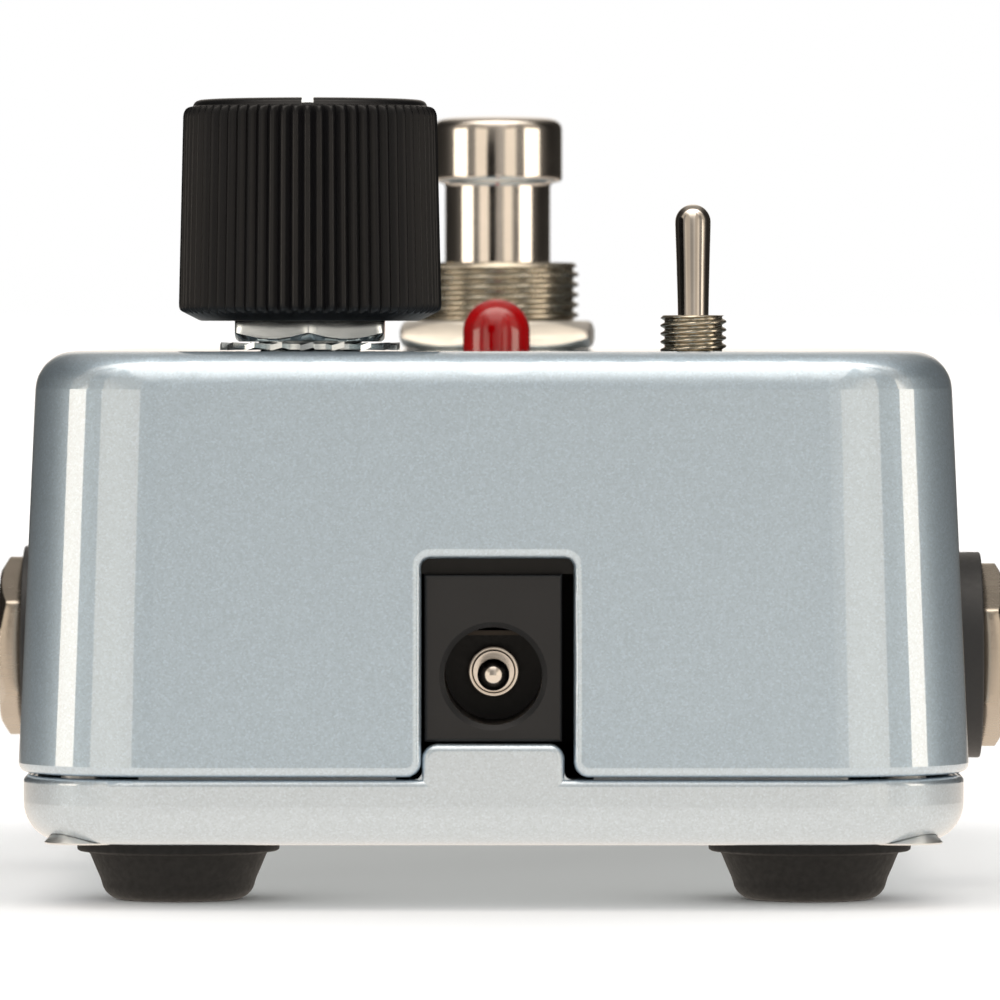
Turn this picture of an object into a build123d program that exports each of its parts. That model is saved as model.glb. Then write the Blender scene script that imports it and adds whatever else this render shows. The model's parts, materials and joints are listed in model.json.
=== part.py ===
from build123d import *
import math
import os

# Compact stomp-box effects pedal, millimetres.
# Frame: origin on the resting plane under the middle of the footprint.
# +X towards the input-jack side, +Y towards the footswitch end, +Z up.
# The power-jack end faces -Y.

os.makedirs("parts", exist_ok=True)

# ---------------------------------------------------------------- shared sizes
BODY_L = 114.3            # length of the casting at its open edge
BODY_W = 62.8             # width of the casting at its open edge
BODY_R = 9.0              # corner radius at the open edge
SLOPE = math.tan(math.radians(2.55))    # draft of the side walls
Z_TOP = 36.5              # outer face of the control panel
Z_OPEN = 8.75             # open edge of the casting
WALL = 2.2
PANEL = 2.0
PANEL_UNDER = Z_TOP - PANEL

# places on the plan
SCREW_X, SCREW_Y = 26.9, 51.6
KNOB_X, KNOB_Y = -12.4, -35.4
TOGGLE_X, TOGGLE_Y = 13.4, -35.4
LED_X, LED_Y = 0.0, 4.9
SWITCH_X, SWITCH_Y = 0.0, 28.75
IN_Y, OUT_Y = -24.2, -5.4     # input jack on the +X side, output jack on the -X side
JACK_Z = 15.65
DC_Y0 = -55.6                 # mouth of the power jack

PCB_Z0 = 21.95
PCB_Z1 = PCB_Z0 + 1.6
WIRE_END_Z = PCB_Z0 - 0.05

SIDES = (-1, 1)
CORNERS = [(sx, sy) for sx in SIDES for sy in SIDES]


# ---------------------------------------------------------------- helpers
def save(name, *shapes):
    """Write all the solids of the shapes to one STEP file."""
    solids = [solid for shape in shapes for solid in shape.solids()]
    piece = solids[0] if len(solids) == 1 else Compound(children=solids)
    export_step(piece, f"parts/{name}.step")


def box(x0, x1, y0, y1, z0, z1):
    """Box between limits; each pair may come in either order."""
    middle = Pos((x0 + x1) / 2, (y0 + y1) / 2, (z0 + z1) / 2)
    return middle * Box(abs(x1 - x0), abs(y1 - y0), abs(z1 - z0))


def block(half_x, half_y, z0, z1, x=0.0, y=0.0):
    """Box centred on (x, y), from its half sizes."""
    return box(x - half_x, x + half_x, y - half_y, y + half_y, z0, z1)


def cyl(r, z0, z1, x=0.0, y=0.0):
    return Pos(x, y, (z0 + z1) / 2) * Cylinder(r, z1 - z0)


def cyl_x(r, x0, x1, y=0.0, z=0.0):
    return Pos((x0 + x1) / 2, y, z) * Rot(0, 90, 0) * Cylinder(r, x1 - x0)


def cyl_y(r, y0, y1, x=0.0, z=0.0):
    return Pos(x, (y0 + y1) / 2, z) * Rot(90, 0, 0) * Cylinder(r, y1 - y0)


def turned(points):
    """Solid turned about Z from (radius, height) points."""
    outline = Wire.make_polygon([Vector(r, 0, z) for r, z in points], close=True)
    return revolve(Face(outline), Axis.Z, 360)


def prism(points, z0, z1):
    outline = Wire.make_polygon([Vector(x, y, z0) for x, y in points], close=True)
    return extrude(Face(outline), amount=z1 - z0, dir=(0, 0, 1))


def nut(across_flats, bore_r, z0, z1, turn, lower_chamfer=True):
    """Bored hexagon whose corners are turned down by a 30 degree cone."""
    corner_r = across_flats / math.sqrt(3)
    angles = [math.radians(60 * k + turn) for k in range(6)]
    hexagon = prism([(corner_r * math.cos(a), corner_r * math.sin(a)) for a in angles], z0, z1)
    rim_r, face_r = corner_r + 0.02, across_flats / 2 * 0.955
    drop = (rim_r - face_r) * math.tan(math.radians(30))
    lower = [(face_r, z0), (rim_r, z0 + drop)] if lower_chamfer else [(rim_r, z0)]
    cone = turned([(0, z0)] + lower + [(rim_r, z1 - drop), (face_r, z1), (0, z1)])
    return (hexagon & cone) - cyl(bore_r, z0 - 1, z1 + 1)


def thread(crest, root, pitch, z0, z1):
    """Outline points of a length of ring-shaped ridges, from z0 up to z1."""
    points = [(root, z0)]
    z = z0
    while z + pitch <= z1 + 1e-9:
        points += [
            (root, z + pitch * 0.12), (crest, z + pitch * 0.44),
            (crest, z + pitch * 0.56), (root, z + pitch * 0.88),
        ]
        z += pitch
    return points + [(root, z1)]


def rounded_rect(width, length, radius, z):
    return Pos(0, 0, z) * RectangleRounded(width, length, radius)


def tilted(shape, pivot_z, about_x=0.0, about_y=0.0):
    return Pos(0, 0, pivot_z) * Rot(about_x, about_y, 0) * Pos(0, 0, -pivot_z) * shape


def wire(points, r):
    """Round wire that leaves towards -Y and arrives going up."""
    path = Spline(*points, tangents=((0, -1, 0), (0, 0, 1)))
    start = Plane(origin=path @ 0, z_dir=path % 0)
    return sweep(start * Circle(r), path=path)


# ---------------------------------------------------------------- casting
TOP_EDGE_R = 2.6
EDGE_R = 0.6              # rounding of the open edge and of the power cut-out
CAVITY_R = BODY_R - 1.6
BOSS_R = 2.8
BOSS_TOP = Z_TOP - 1.0
NOTCH_W, NOTCH_TOP = 9.95, 23.0
NOTCH_X0, NOTCH_X1 = 0.28 - NOTCH_W / 2, 0.28 + NOTCH_W / 2
NOTCH_CORNER_R, NOTCH_FLARE_R = 0.6, 1.0
JACK_HOLE_R = 4.65
# radius, x, y
PANEL_HOLES = [
    (3.6, KNOB_X, KNOB_Y),
    (2.45, TOGGLE_X, TOGGLE_Y),
    (2.55, LED_X, LED_Y),
    (6.1, SWITCH_X, SWITCH_Y),
]


def drafted(width, length, radius, z1, radius_loss):
    """Rounded block narrowing with the draft from the open edge up to z1."""
    inset = SLOPE * (z1 - Z_OPEN)
    low = rounded_rect(width, length, radius, Z_OPEN)
    high = rounded_rect(
        width - 2 * inset, length - 2 * inset, radius - inset * radius_loss, z1)
    return loft([low.face(), high.face()], ruled=True)


def screw_boss(sx, sy, outer):
    """Round boss joined to the casting's corner, trimmed to its outer skin."""
    x, y = sx * SCREW_X, sy * SCREW_Y
    x_end, y_end = sx * BODY_W / 2, sy * BODY_L / 2
    boss = cyl(BOSS_R, Z_OPEN, BOSS_TOP, x, y)
    corner = box(x, x_end, y - sy * BOSS_R, y_end, Z_OPEN, BOSS_TOP)
    corner += box(x - sx * BOSS_R, x_end, y, y_end, Z_OPEN, BOSS_TOP)
    return (boss + corner) & outer


def notch_cutter():
    """Power cut-out: rounded top corners, mouth flaring at the open edge."""
    y0, y1 = -BODY_L / 2 - 2, -BODY_L / 2 + WALL + 2.6
    flare_r = NOTCH_FLARE_R
    cut = box(NOTCH_X0, NOTCH_X1, y0, y1, Z_OPEN - 1, NOTCH_TOP)
    cut = fillet(cut.edges().filter_by(Axis.Y).group_by(Axis.Z)[-1], NOTCH_CORNER_R)
    for side, x in ((-1, NOTCH_X0), (1, NOTCH_X1)):
        x_out = x + side * flare_r
        flare = box(x_out, x - side * 0.2, y0, y1, Z_OPEN - 1, Z_OPEN + flare_r)
        flare -= cyl_y(flare_r, y0 - 1, y1 + 1, x_out, Z_OPEN + flare_r)
        cut += flare
    return cut


def enclosure_body():
    outer = drafted(BODY_W, BODY_L, BODY_R, Z_TOP, 0.55)
    outer = fillet(outer.edges().group_by(Axis.Z)[-1], TOP_EDGE_R)
    cavity = drafted(BODY_W - 2 * WALL, BODY_L - 2 * WALL, CAVITY_R, PANEL_UNDER, 0.5)
    cavity = fillet(cavity.edges().group_by(Axis.Z)[-1], 1.0)
    casting = outer - cavity
    for sx, sy in CORNERS:
        casting += screw_boss(sx, sy, outer)
    casting -= notch_cutter()
    for r, x, y in PANEL_HOLES:
        casting -= cyl(r, Z_TOP - 5, Z_TOP + 1, x, y)
    casting -= cyl_x(JACK_HOLE_R, 20, 40, IN_Y, JACK_Z)
    casting -= cyl_x(JACK_HOLE_R, -40, -20, OUT_Y, JACK_Z)
    for sx, sy in CORNERS:
        casting -= cyl(1.55, Z_OPEN - 1, Z_OPEN + 12.0, sx * SCREW_X, sy * SCREW_Y)
    return casting


def outer_low_edges(shape):
    """Edges of the open rim that reach the outermost width or length."""
    found = []
    for edge in shape.edges():
        if abs(edge.center().Z - Z_OPEN) > 0.02:
            continue
        bounds = edge.bounding_box()
        reach_x = max(abs(bounds.min.X), abs(bounds.max.X))
        reach_y = max(abs(bounds.min.Y), abs(bounds.max.Y))
        if reach_x > BODY_W / 2 - 0.05 or reach_y > BODY_L / 2 - 0.05:
            found.append(edge)
    return found


def notch_edges(shape):
    """Edges of the cut-out that lie in the sloping outer face of the -Y wall."""
    x_low = NOTCH_X0 - NOTCH_FLARE_R - 0.02
    x_high = NOTCH_X1 + NOTCH_FLARE_R + 0.02
    found = []
    for edge in shape.edges():
        bounds = edge.bounding_box()
        low, high = bounds.min, bounds.max
        if low.Y > -BODY_L / 2 + 1.2 or high.Z > NOTCH_TOP + 0.1 or high.Z - Z_OPEN < 0.05:
            continue
        if low.X < x_low or high.X > x_high:
            continue
        points = [edge.position_at(t) for t in (0.0, 0.5, 1.0)]
        if all(abs(p.Y + BODY_L / 2 - SLOPE * (p.Z - Z_OPEN)) < 0.03 for p in points):
            found.append(edge)
    return found


body = enclosure_body()
try:
    body = fillet(outer_low_edges(body) + notch_edges(body), EDGE_R)
except Exception:
    # Guards against the rim fillet failing: the edges then stay sharp.
    pass
save("enclosure_body", body)

# ---------------------------------------------------------------- lid
LID_Z0, LID_Z1 = 4.2, 8.58
LID_INSET = 0.35
LID_EDGE_R = 2.6
LID_FLOOR = 2.0
LID_W, LID_L = BODY_W - 2 * LID_INSET, BODY_L - 2 * LID_INSET
LID_HOLE_R = 1.75
TAB_W, TAB_TOP = 9.3, 10.9
TAB_Y0 = -LID_L / 2
TAB_ROOT_R = 0.5

LID_SINK = [    # countersink: radius, height
    (0, LID_Z0 - 0.5), (3.3, LID_Z0 - 0.5), (2.8, LID_Z0),
    (LID_HOLE_R, LID_Z0 + 1.05), (0, LID_Z0 + 1.05),
]


def lid_tab():
    """Tab that fills the foot of the power cut-out, with flared roots."""
    tab = block(TAB_W / 2, 1.0, LID_Z1 - 1.2, TAB_TOP, y=TAB_Y0 + 1.0)
    tab = fillet(tab.edges().filter_by(Axis.Y).group_by(Axis.Z)[-1], 1.0)
    outer_edges = [
        e for e in tab.edges() if e.center().Y < TAB_Y0 + 0.01 and e.center().Z > LID_Z1
    ]
    tab = fillet(outer_edges, 0.45)
    root_z = LID_Z1 + TAB_ROOT_R
    for side in SIDES:
        x, x_out = side * TAB_W / 2, side * (TAB_W / 2 + TAB_ROOT_R)
        root = box(x, x_out, TAB_Y0 + 0.45, TAB_Y0 + 2.0, LID_Z1 - 0.6, root_z)
        root -= cyl_y(TAB_ROOT_R, TAB_Y0 - 1, TAB_Y0 + 4, x_out, root_z)
        tab += root
    return tab


def bottom_lid():
    plate = extrude(
        rounded_rect(LID_W, LID_L, BODY_R - LID_INSET, LID_Z0), amount=LID_Z1 - LID_Z0)
    plate = fillet(plate.edges().group_by(Axis.Z)[0], LID_EDGE_R)
    plate = fillet(plate.edges().group_by(Axis.Z)[-1], 0.45)
    hollow = extrude(
        rounded_rect(LID_W - 7.2, LID_L - 7.2, BODY_R - 4.5, LID_Z0 + LID_FLOOR), amount=6)
    # register lip that stands into the casting
    lip = extrude(
        rounded_rect(LID_W - 4.9, LID_L - 4.9, BODY_R - 2.6, LID_Z1 - 0.2), amount=1.2)
    lid = plate + lip - hollow
    for sx, sy in CORNERS:
        x, y = sx * SCREW_X, sy * SCREW_Y
        # screw pad, clearance in the lip for the boss, countersunk hole
        lid += box(
            x - sx * 2.8, x + sx * 1.2, y - sy * 2.8, y + sy * 1.2, LID_Z0 + 1.0, LID_Z1)
        lid -= box(x - sx * 3.7, x + sx * 6, y - sy * 3.7, y + sy * 6, LID_Z1, LID_Z1 + 3)
        lid -= cyl(LID_HOLE_R, LID_Z0 - 1, LID_Z1 + 1, x, y)
        lid -= Pos(x, y, 0) * turned(LID_SINK)
    # the lip stops short of the power jack
    lid -= box(
        -NOTCH_W / 2 - 1.4, NOTCH_W / 2 + 1.6,
        -BODY_L / 2 - 1, -BODY_L / 2 + 6.0, LID_Z1, LID_Z1 + 3)
    return lid + lid_tab()


save("bottom_lid", bottom_lid())


def screw():
    """Countersunk lid screw with a cross recess in its underside."""
    shank = turned([
        (0, LID_Z0 - 0.02), (2.55, LID_Z0 - 0.02), (2.62, LID_Z0 + 0.08),
        (1.5, LID_Z0 + 1.3), (1.5, LID_Z1 + 8.2), (1.2, LID_Z1 + 9.0), (0, LID_Z1 + 9.0),
    ])
    z0, z1 = LID_Z0 - 1, LID_Z0 + 0.8
    cross = block(1.45, 0.28, z0, z1) + block(0.28, 1.45, z0, z1)
    return Rot(0, 0, 20) * (shank - cross)


save("lid_screws", *[Pos(sx * SCREW_X, sy * SCREW_Y, 0) * screw() for sx, sy in CORNERS])

# ---------------------------------------------------------------- feet
FOOT_X, FOOT_Y = 21.05, 42.15
FOOT_FLANGE_R, FOOT_R, FOOT_TIP_R = 6.75, 5.95, 5.15
FOOT_FLANGE_Z = LID_Z0 - 1.0

FOOT_OUTLINE = [    # radius, height
    (0, 0), (FOOT_TIP_R - 1.1, 0), (FOOT_TIP_R - 0.55, 0.16), (FOOT_TIP_R - 0.12, 0.6),
    (FOOT_TIP_R + 0.06, 1.2), (FOOT_R, FOOT_FLANGE_Z), (FOOT_FLANGE_R, FOOT_FLANGE_Z),
    (FOOT_FLANGE_R, LID_Z0 - 0.02), (0, LID_Z0 - 0.02),
]
save("rubber_feet",
     *[Pos(sx * FOOT_X, sy * FOOT_Y, 0) * turned(FOOT_OUTLINE) for sx, sy in CORNERS])

# ---------------------------------------------------------------- knob
KNOB_Z0, KNOB_Z1 = 38.5, 53.4
KNOB_R = 8.85
KNOB_TOP_R, KNOB_CAP_R = 8.55, 7.9
KNOB_FLUTES = 66
FLUTED_TOP = KNOB_Z1 - 0.45
INSERT_R, INSERT_WAIST_R, INSERT_BORE_R = 4.58, 4.3, 3.03
INSERT_Z0, INSERT_Z1 = KNOB_Z0 + 3.42, KNOB_Z1 - 2.22
GRUB_Z = KNOB_Z0 + 8.0
knob_place = Pos(KNOB_X, KNOB_Y, 0)


def knob_body():
    rim = []
    for k in range(KNOB_FLUTES):
        # share of the flute pitch, radius
        for share, r in ((0.0, KNOB_R - 0.36), (0.30, KNOB_R), (0.70, KNOB_R)):
            angle = 2 * math.pi * (k + share) / KNOB_FLUTES
            rim.append((r * math.cos(angle), r * math.sin(angle)))
    fluted = prism(rim, KNOB_Z0, FLUTED_TOP)
    cap = turned([
        (0, KNOB_Z1 - 0.9), (KNOB_CAP_R, KNOB_Z1 - 0.9), (KNOB_CAP_R, KNOB_Z1 - 0.4),
        (KNOB_CAP_R - 0.45, KNOB_Z1), (0, KNOB_Z1),
    ])
    envelope = turned([
        (0, KNOB_Z0), (KNOB_R - 1.6, KNOB_Z0), (KNOB_R + 0.02, KNOB_Z0 + 0.8),
        (KNOB_TOP_R, KNOB_Z1 - 1.0), (KNOB_TOP_R - 0.5, FLUTED_TOP), (0, FLUTED_TOP),
    ])
    knob = (fluted & envelope) + cap
    knob -= cyl(6.5, KNOB_Z0 - 1, KNOB_Z0 + 3.4)
    knob -= cyl(4.6, KNOB_Z0 + 3, KNOB_Z1 - 2.2)
    knob -= cyl_y(1.75, 3.0, 12.0, z=GRUB_Z)
    # pointer groove
    knob -= box(-0.5, 0.5, -KNOB_R - 1, -0.6, KNOB_Z1 - 0.36, KNOB_Z1 + 1)
    return knob


def knob_insert():
    """Waisted sleeve around the shaft, with the set-screw hole on its +Y side."""
    sleeve = turned([
        (INSERT_BORE_R, INSERT_Z0), (INSERT_R, INSERT_Z0), (INSERT_R, KNOB_Z0 + 6.0),
        (INSERT_WAIST_R, KNOB_Z0 + 6.3), (INSERT_WAIST_R, KNOB_Z0 + 9.7),
        (INSERT_R, KNOB_Z0 + 10.0), (INSERT_R, INSERT_Z1), (INSERT_BORE_R, INSERT_Z1),
    ])
    return sleeve - cyl_y(1.5, 2.0, 6.0, z=GRUB_Z)


save("knob_body", knob_place * knob_body())
pointer = box(-0.47, 0.47, -KNOB_CAP_R + 0.3, -0.64, KNOB_Z1 - 0.35, KNOB_Z1 - 0.04)
save("knob_pointer", knob_place * pointer)
save("knob_insert", knob_place * knob_insert())
set_screw = cyl_y(1.47, 3.06, 7.4, z=GRUB_Z) - cyl_y(0.75, 5.8, 9.0, z=GRUB_Z)
save("knob_set_screw", knob_place * set_screw)

# ---------------------------------------------------------------- control under the knob
POT_PITCH = 5.0           # between the three terminals
POT_RIVET_Y = -9.2
POT_BORE_R = 3.05
POT_FLANGE_R = 8.3
POT_FLANGE_Z0 = PANEL_UNDER - 1.5
POT_THREAD_TOP = PANEL_UNDER + 6.0
POT_WASHER_TOP = Z_TOP + 0.6


def pot_housing():
    return turned(
        [(POT_BORE_R, POT_FLANGE_Z0), (POT_FLANGE_R, POT_FLANGE_Z0),
         (POT_FLANGE_R, PANEL_UNDER - 0.02), (3.3, PANEL_UNDER - 0.02)]
        + thread(3.48, 3.2, 0.75, PANEL_UNDER, POT_THREAD_TOP)
        + [(POT_BORE_R, POT_THREAD_TOP)])


def pot_lock_washer():
    washer = cyl(4.9, Z_TOP + 0.02, POT_WASHER_TOP)
    for k in range(18):
        washer += Rot(0, 0, 20 * k) * box(4.6, 6.1, -0.62, 0.62, Z_TOP + 0.02, Z_TOP + 0.5)
    return washer - cyl(3.6, 30, 45)


def pot_shaft():
    """Shaft with a collar, and a flat on the +Y side of its upper end."""
    shaft = cyl(3.0, 28.0, 50.9) + cyl(5.0, 31.0, 31.9)
    return shaft - box(-4, 4, 2.2, 4, 42.0, 52)


def pot_wiper():
    ring = cyl(6.0, 29.2, 29.55) - cyl(5.2, 20, 40)
    return ring + box(3.2, 5.6, -0.7, 0.7, 29.3, 29.55) - cyl(3.1, 20, 40)


def pot_wafer():
    z0, z1 = 27.9, 29.1
    wafer = cyl(7.7, z0, z1) + box(-6.4, 6.4, -10.4, 0, z0, z1)
    wafer -= cyl(3.15, 20, 40)
    for k in (-1, 0, 1):
        wafer -= cyl(0.65, 26, 31, POT_PITCH * k, POT_RIVET_Y)
    return wafer


def pot_terminal(x):
    """Rivet, flat tag and tail down to the board."""
    tag_top = 27.85
    terminal = cyl(0.6, 27.2, 29.6, x, POT_RIVET_Y)
    terminal += box(x - 0.9, x + 0.9, -10.9, -8.2, 27.4, tag_top)
    return terminal + box(x - 0.45, x + 0.45, -11.2, -10.75, 20.6, tag_top)


def pot_cover():
    """Cup open at the top, with a window on the -Y side for the wafer."""
    can = cyl(8.25, 25.0, POT_FLANGE_Z0 - 0.02) - cyl(7.85, 25.4, PANEL_UNDER)
    return can - (box(-6.6, 6.6, -12, 0, 27.0, 29.9) & (cyl(12, 20, 40) - cyl(7.0, 20, 40)))


save("pot_housing", knob_place * pot_housing())
save("pot_nut", knob_place * nut(10.0, 3.52, POT_WASHER_TOP + 0.02, Z_TOP + 2.6, 30.0))
save("pot_lock_washer", knob_place * pot_lock_washer())
save("pot_shaft", knob_place * pot_shaft())
save("pot_rotor", knob_place * (cyl(6.6, 29.6, 30.95) - cyl(3.02, 20, 40)))
save("pot_wiper", knob_place * pot_wiper())
save("pot_wafer", knob_place * pot_wafer())
save("pot_terminals", *[knob_place * pot_terminal(POT_PITCH * k) for k in (-1, 0, 1)])
save("pot_cover", knob_place * pot_cover())

# ---------------------------------------------------------------- toggle switch
TOGGLE_THROW = 25.0       # degrees between the two lever positions
TOGGLE_PIVOT_Z = 37.0
TOGGLE_ROCK = 16.0        # degrees between the two rocker positions
TOGGLE_ROCK_Z = 27.2
TOGGLE_PITCH = 3.6        # between the three terminals
TOGGLE_HALF_W, TOGGLE_HALF_L = 3.5, 6.35
TOGGLE_PLATE_Z0, TOGGLE_PLATE_Z1 = 31.72, 32.2
toggle_place = Pos(TOGGLE_X, TOGGLE_Y, 0)


def toggle_bushing():
    sleeve = turned(
        [(1.78, 32.22), (2.0, 32.22)]
        + thread(2.22, 1.97, 0.55, 32.3, 38.8)[1:]
        + [(1.92, 38.92), (1.56, 38.92), (1.56, 35.6), (1.78, 35.4)])
    return sleeve - cyl_x(0.5, -3, 3, z=TOGGLE_PIVOT_Z)


def toggle_frame():
    """Top plate with a leg bent down at each Y end."""
    z0, z1 = TOGGLE_PLATE_Z0, TOGGLE_PLATE_Z1
    frame = block(TOGGLE_HALF_W, TOGGLE_HALF_L, z0, z1) - cyl(1.9, 30, 34)
    for side in SIDES:
        frame += box(-TOGGLE_HALF_W, TOGGLE_HALF_W, side * 6.38, side * 6.78, 26.5, z1)
        frame += box(-TOGGLE_HALF_W, TOGGLE_HALF_W, side * 6.2, side * 6.78, z0, z1)
    return frame


def toggle_case():
    case = block(TOGGLE_HALF_W, TOGGLE_HALF_L, 23.58, TOGGLE_PLATE_Z0 - 0.02)
    case -= block(2.7, 5.6, 24.6, 33)
    for k in (-1, 0, 1):
        case -= block(0.75, 0.35, 23, 25, y=TOGGLE_PITCH * k)
    return case


def toggle_lever():
    """Built upright about its ball, then leaned towards the footswitch end."""
    pivot = TOGGLE_PIVOT_Z
    lever = Pos(0, 0, pivot) * Sphere(1.5)
    lever += turned([
        (0, pivot), (0.95, pivot), (1.0, pivot + 1.6), (1.19, 45.3), (1.17, 45.62),
        (1.08, 45.95), (0.92, 46.22), (0.66, 46.44), (0.33, 46.56), (0, 46.6),
    ])
    lever += turned([
        (0, 27.78), (0.35, 27.82), (0.55, 28.1), (0.62, 32.0), (0.7, pivot), (0, pivot),
    ])
    lever -= cyl_x(0.55, -3, 3, z=pivot)
    return tilted(lever, pivot, about_x=-TOGGLE_THROW / 2)


def toggle_rocker():
    rocker = block(1.3, 4.3, TOGGLE_ROCK_Z, TOGGLE_ROCK_Z + 0.3)
    rocker -= cyl_x(0.35, -3, 3, z=TOGGLE_ROCK_Z - 0.12)
    return tilted(rocker, TOGGLE_ROCK_Z, about_x=TOGGLE_ROCK / 2)


def toggle_terminals():
    """Middle terminal carrying the rocker on a round bar, then the two outer ones."""
    z0 = 19.9
    middle = block(0.7, 0.3, z0, TOGGLE_ROCK_Z - 0.42)
    middle += cyl_x(0.28, -1.1, 1.1, z=TOGGLE_ROCK_Z - 0.28)
    return [middle] + [block(0.7, 0.3, z0, 26.1, y=k * TOGGLE_PITCH) for k in (1, -1)]


save("toggle_bushing", toggle_place * toggle_bushing())
save("toggle_frame", toggle_place * toggle_frame())
save("toggle_case", toggle_place * toggle_case())
save("toggle_lever", toggle_place * toggle_lever())
save("toggle_pivot_pin", toggle_place * cyl_x(0.48, -1.9, 1.9, z=TOGGLE_PIVOT_Z))
save("toggle_rocker", toggle_place * toggle_rocker())
save("toggle_terminals", *[toggle_place * t for t in toggle_terminals()])

# ---------------------------------------------------------------- lamp
LED_R, LED_FLANGE_R = 2.42, 2.95
LED_Z0, LED_DOME_Z = 31.6, 37.75
LEAD_PITCH = 2.54
led_place = Pos(LED_X, LED_Y, 0)


def led_lens():
    """Domed lens whose flange has a flat on the +X side."""
    angles = [math.radians(a) for a in range(9, 90, 9)]
    dome = [(LED_R * math.cos(a), LED_DOME_Z + LED_R * math.sin(a)) for a in angles]
    lens = turned(
        [(0, LED_Z0), (LED_FLANGE_R, LED_Z0), (LED_FLANGE_R, LED_Z0 + 1.0),
         (LED_R, LED_Z0 + 1.0), (LED_R, LED_DOME_Z)]
        + dome + [(0, LED_DOME_Z + LED_R)])
    return lens - box(2.45, 4, -4, 4, 31, 32.7)


save("led_lens", led_place * led_lens())
leads = [block(0.25, 0.25, 20.3, LED_Z0 - 0.02, x=side * LEAD_PITCH / 2) for side in SIDES]
save("led_leads", *[led_place * lead for lead in leads])

# ---------------------------------------------------------------- footswitch
SEAT_Z, SHOULDER_Z = 33.2, 39.3       # the spring's lower and upper stops
SWITCH_BUSH_TOP = 42.9
SWITCH_NUT_AF, SWITCH_NUT_BORE_R = 14.0, 6.05
SWITCH_ROCK = 16.0        # degrees between the two rocker positions
SWITCH_ROCK_Z = 20.9
FRAME_HALF_L, FRAME_HALF_W = 8.6, 6.35
LUG_PITCH_X, LUG_Y = 4.9, 2.7
LUG_PLACES = [(LUG_PITCH_X * kx, LUG_Y * ky) for kx in (-1, 0, 1) for ky in SIDES]
switch_place = Pos(SWITCH_X, SWITCH_Y, 0)

BUTTON_OUTLINE = [    # radius, height
    (0, 27.2), (1.9, 27.2), (1.9, SHOULDER_Z), (3.9, SHOULDER_Z), (3.9, 48.75),
    (4.72, 48.98), (4.78, 49.1), (4.78, 52.75), (4.7, 53.1), (4.45, 53.38),
    (4.0, 53.55), (2.0, 53.68), (0, 53.7),
]
PUSHER_OUTLINE = [    # radius, height
    (0, 25.9), (1.2, 25.9), (2.6, 26.6), (2.6, 29.4), (1.95, 29.4), (1.95, 27.17), (0, 27.17),
]


def footswitch_bushing():
    return turned(
        [(2.05, 30.92), (5.6, 30.92)]
        + thread(6.0, 5.62, 0.75, 30.95, 42.3)
        + [(5.55, 42.45), (5.35, SWITCH_BUSH_TOP), (3.96, SWITCH_BUSH_TOP),
           (3.96, SEAT_Z), (2.05, SEAT_Z)])


def footswitch_nut(z0, z1, turn):
    return nut(SWITCH_NUT_AF, SWITCH_NUT_BORE_R, z0, z1, turn)


def footswitch_lock_washer():
    washer = cyl(8.4, 33.92, 34.46) - cyl(SWITCH_NUT_BORE_R, 30, 45)
    for k in range(12):
        washer -= Rot(0, 0, 30 * k) * box(7.7, 9, -0.5, 0.5, 33, 35)
    return washer


def footswitch_frame():
    """Top plate with a narrower leg at each X end."""
    frame = block(FRAME_HALF_L, FRAME_HALF_W, 30.1, 30.9) - cyl(2.2, 29, 32)
    for side in SIDES:
        frame += box(
            side * FRAME_HALF_L, side * (FRAME_HALF_L - 0.6), -3.5, 3.5, 22.5, 30.9)
    return frame


def footswitch_case():
    case = block(FRAME_HALF_L - 0.65, FRAME_HALF_W, 17.9, 30.05) - block(6.9, 5.3, 19.2, 31)
    for x, y in LUG_PLACES:
        case -= block(1.1, 0.42, 17, 20, x, y)
    return case


def footswitch_lug(x, y):
    """Lug with a wire hole; a middle one also carries the rocker on a round bar."""
    middle = x == 0
    lug = block(1.0, 0.35, 13.4, 20.05 if middle else 19.75, x, y)
    lug -= cyl_y(0.5, y - 1, y + 1, x, 14.6)
    if middle:
        bar = cyl_y(0.28, y - 0.9, y + 0.9, z=SWITCH_ROCK_Z - 0.28)
        lug += bar + block(0.2, 0.35, 20.0, SWITCH_ROCK_Z - 0.2, y=y)
    return lug


def footswitch_rocker():
    z = SWITCH_ROCK_Z
    rocker = block(1.7, 3.6, z, z + 1.4)
    for side in SIDES:
        rocker += block(5.9, 1.2, z, z + 0.35, y=LUG_Y * side)
    rocker -= cyl_y(0.36, -9, 9, z=z - 0.14)
    return tilted(rocker, z, about_y=SWITCH_ROCK / 2)


def footswitch_spring():
    turns, wire_r, coil_r, gap = 5.0, 0.27, 2.95, 0.05
    rise = SHOULDER_Z - SEAT_Z - 2 * wire_r - 2 * gap
    helix = Helix(pitch=rise / turns, height=rise, radius=coil_r)
    start = Plane(origin=helix @ 0, z_dir=helix % 0)
    coil = sweep(start * Circle(wire_r), path=helix, is_frenet=True)
    return Pos(0, 0, SEAT_Z + wire_r + gap) * coil


save("footswitch_button", switch_place * turned(BUTTON_OUTLINE))
save("footswitch_bushing", switch_place * footswitch_bushing())
save("footswitch_nut", switch_place * footswitch_nut(Z_TOP + 0.02, Z_TOP + 2.12, 26.4))
save("footswitch_inner_nut", switch_place * footswitch_nut(31.9, 33.9, 10.0))
save("footswitch_lock_washer", switch_place * footswitch_lock_washer())
save("footswitch_frame", switch_place * footswitch_frame())
save("footswitch_case", switch_place * footswitch_case())
save("footswitch_lugs", *[switch_place * footswitch_lug(x, y) for x, y in LUG_PLACES])
save("footswitch_rocker", switch_place * footswitch_rocker())
save("footswitch_pusher", switch_place * turned(PUSHER_OUTLINE))
save("footswitch_spring", switch_place * footswitch_spring())

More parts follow.
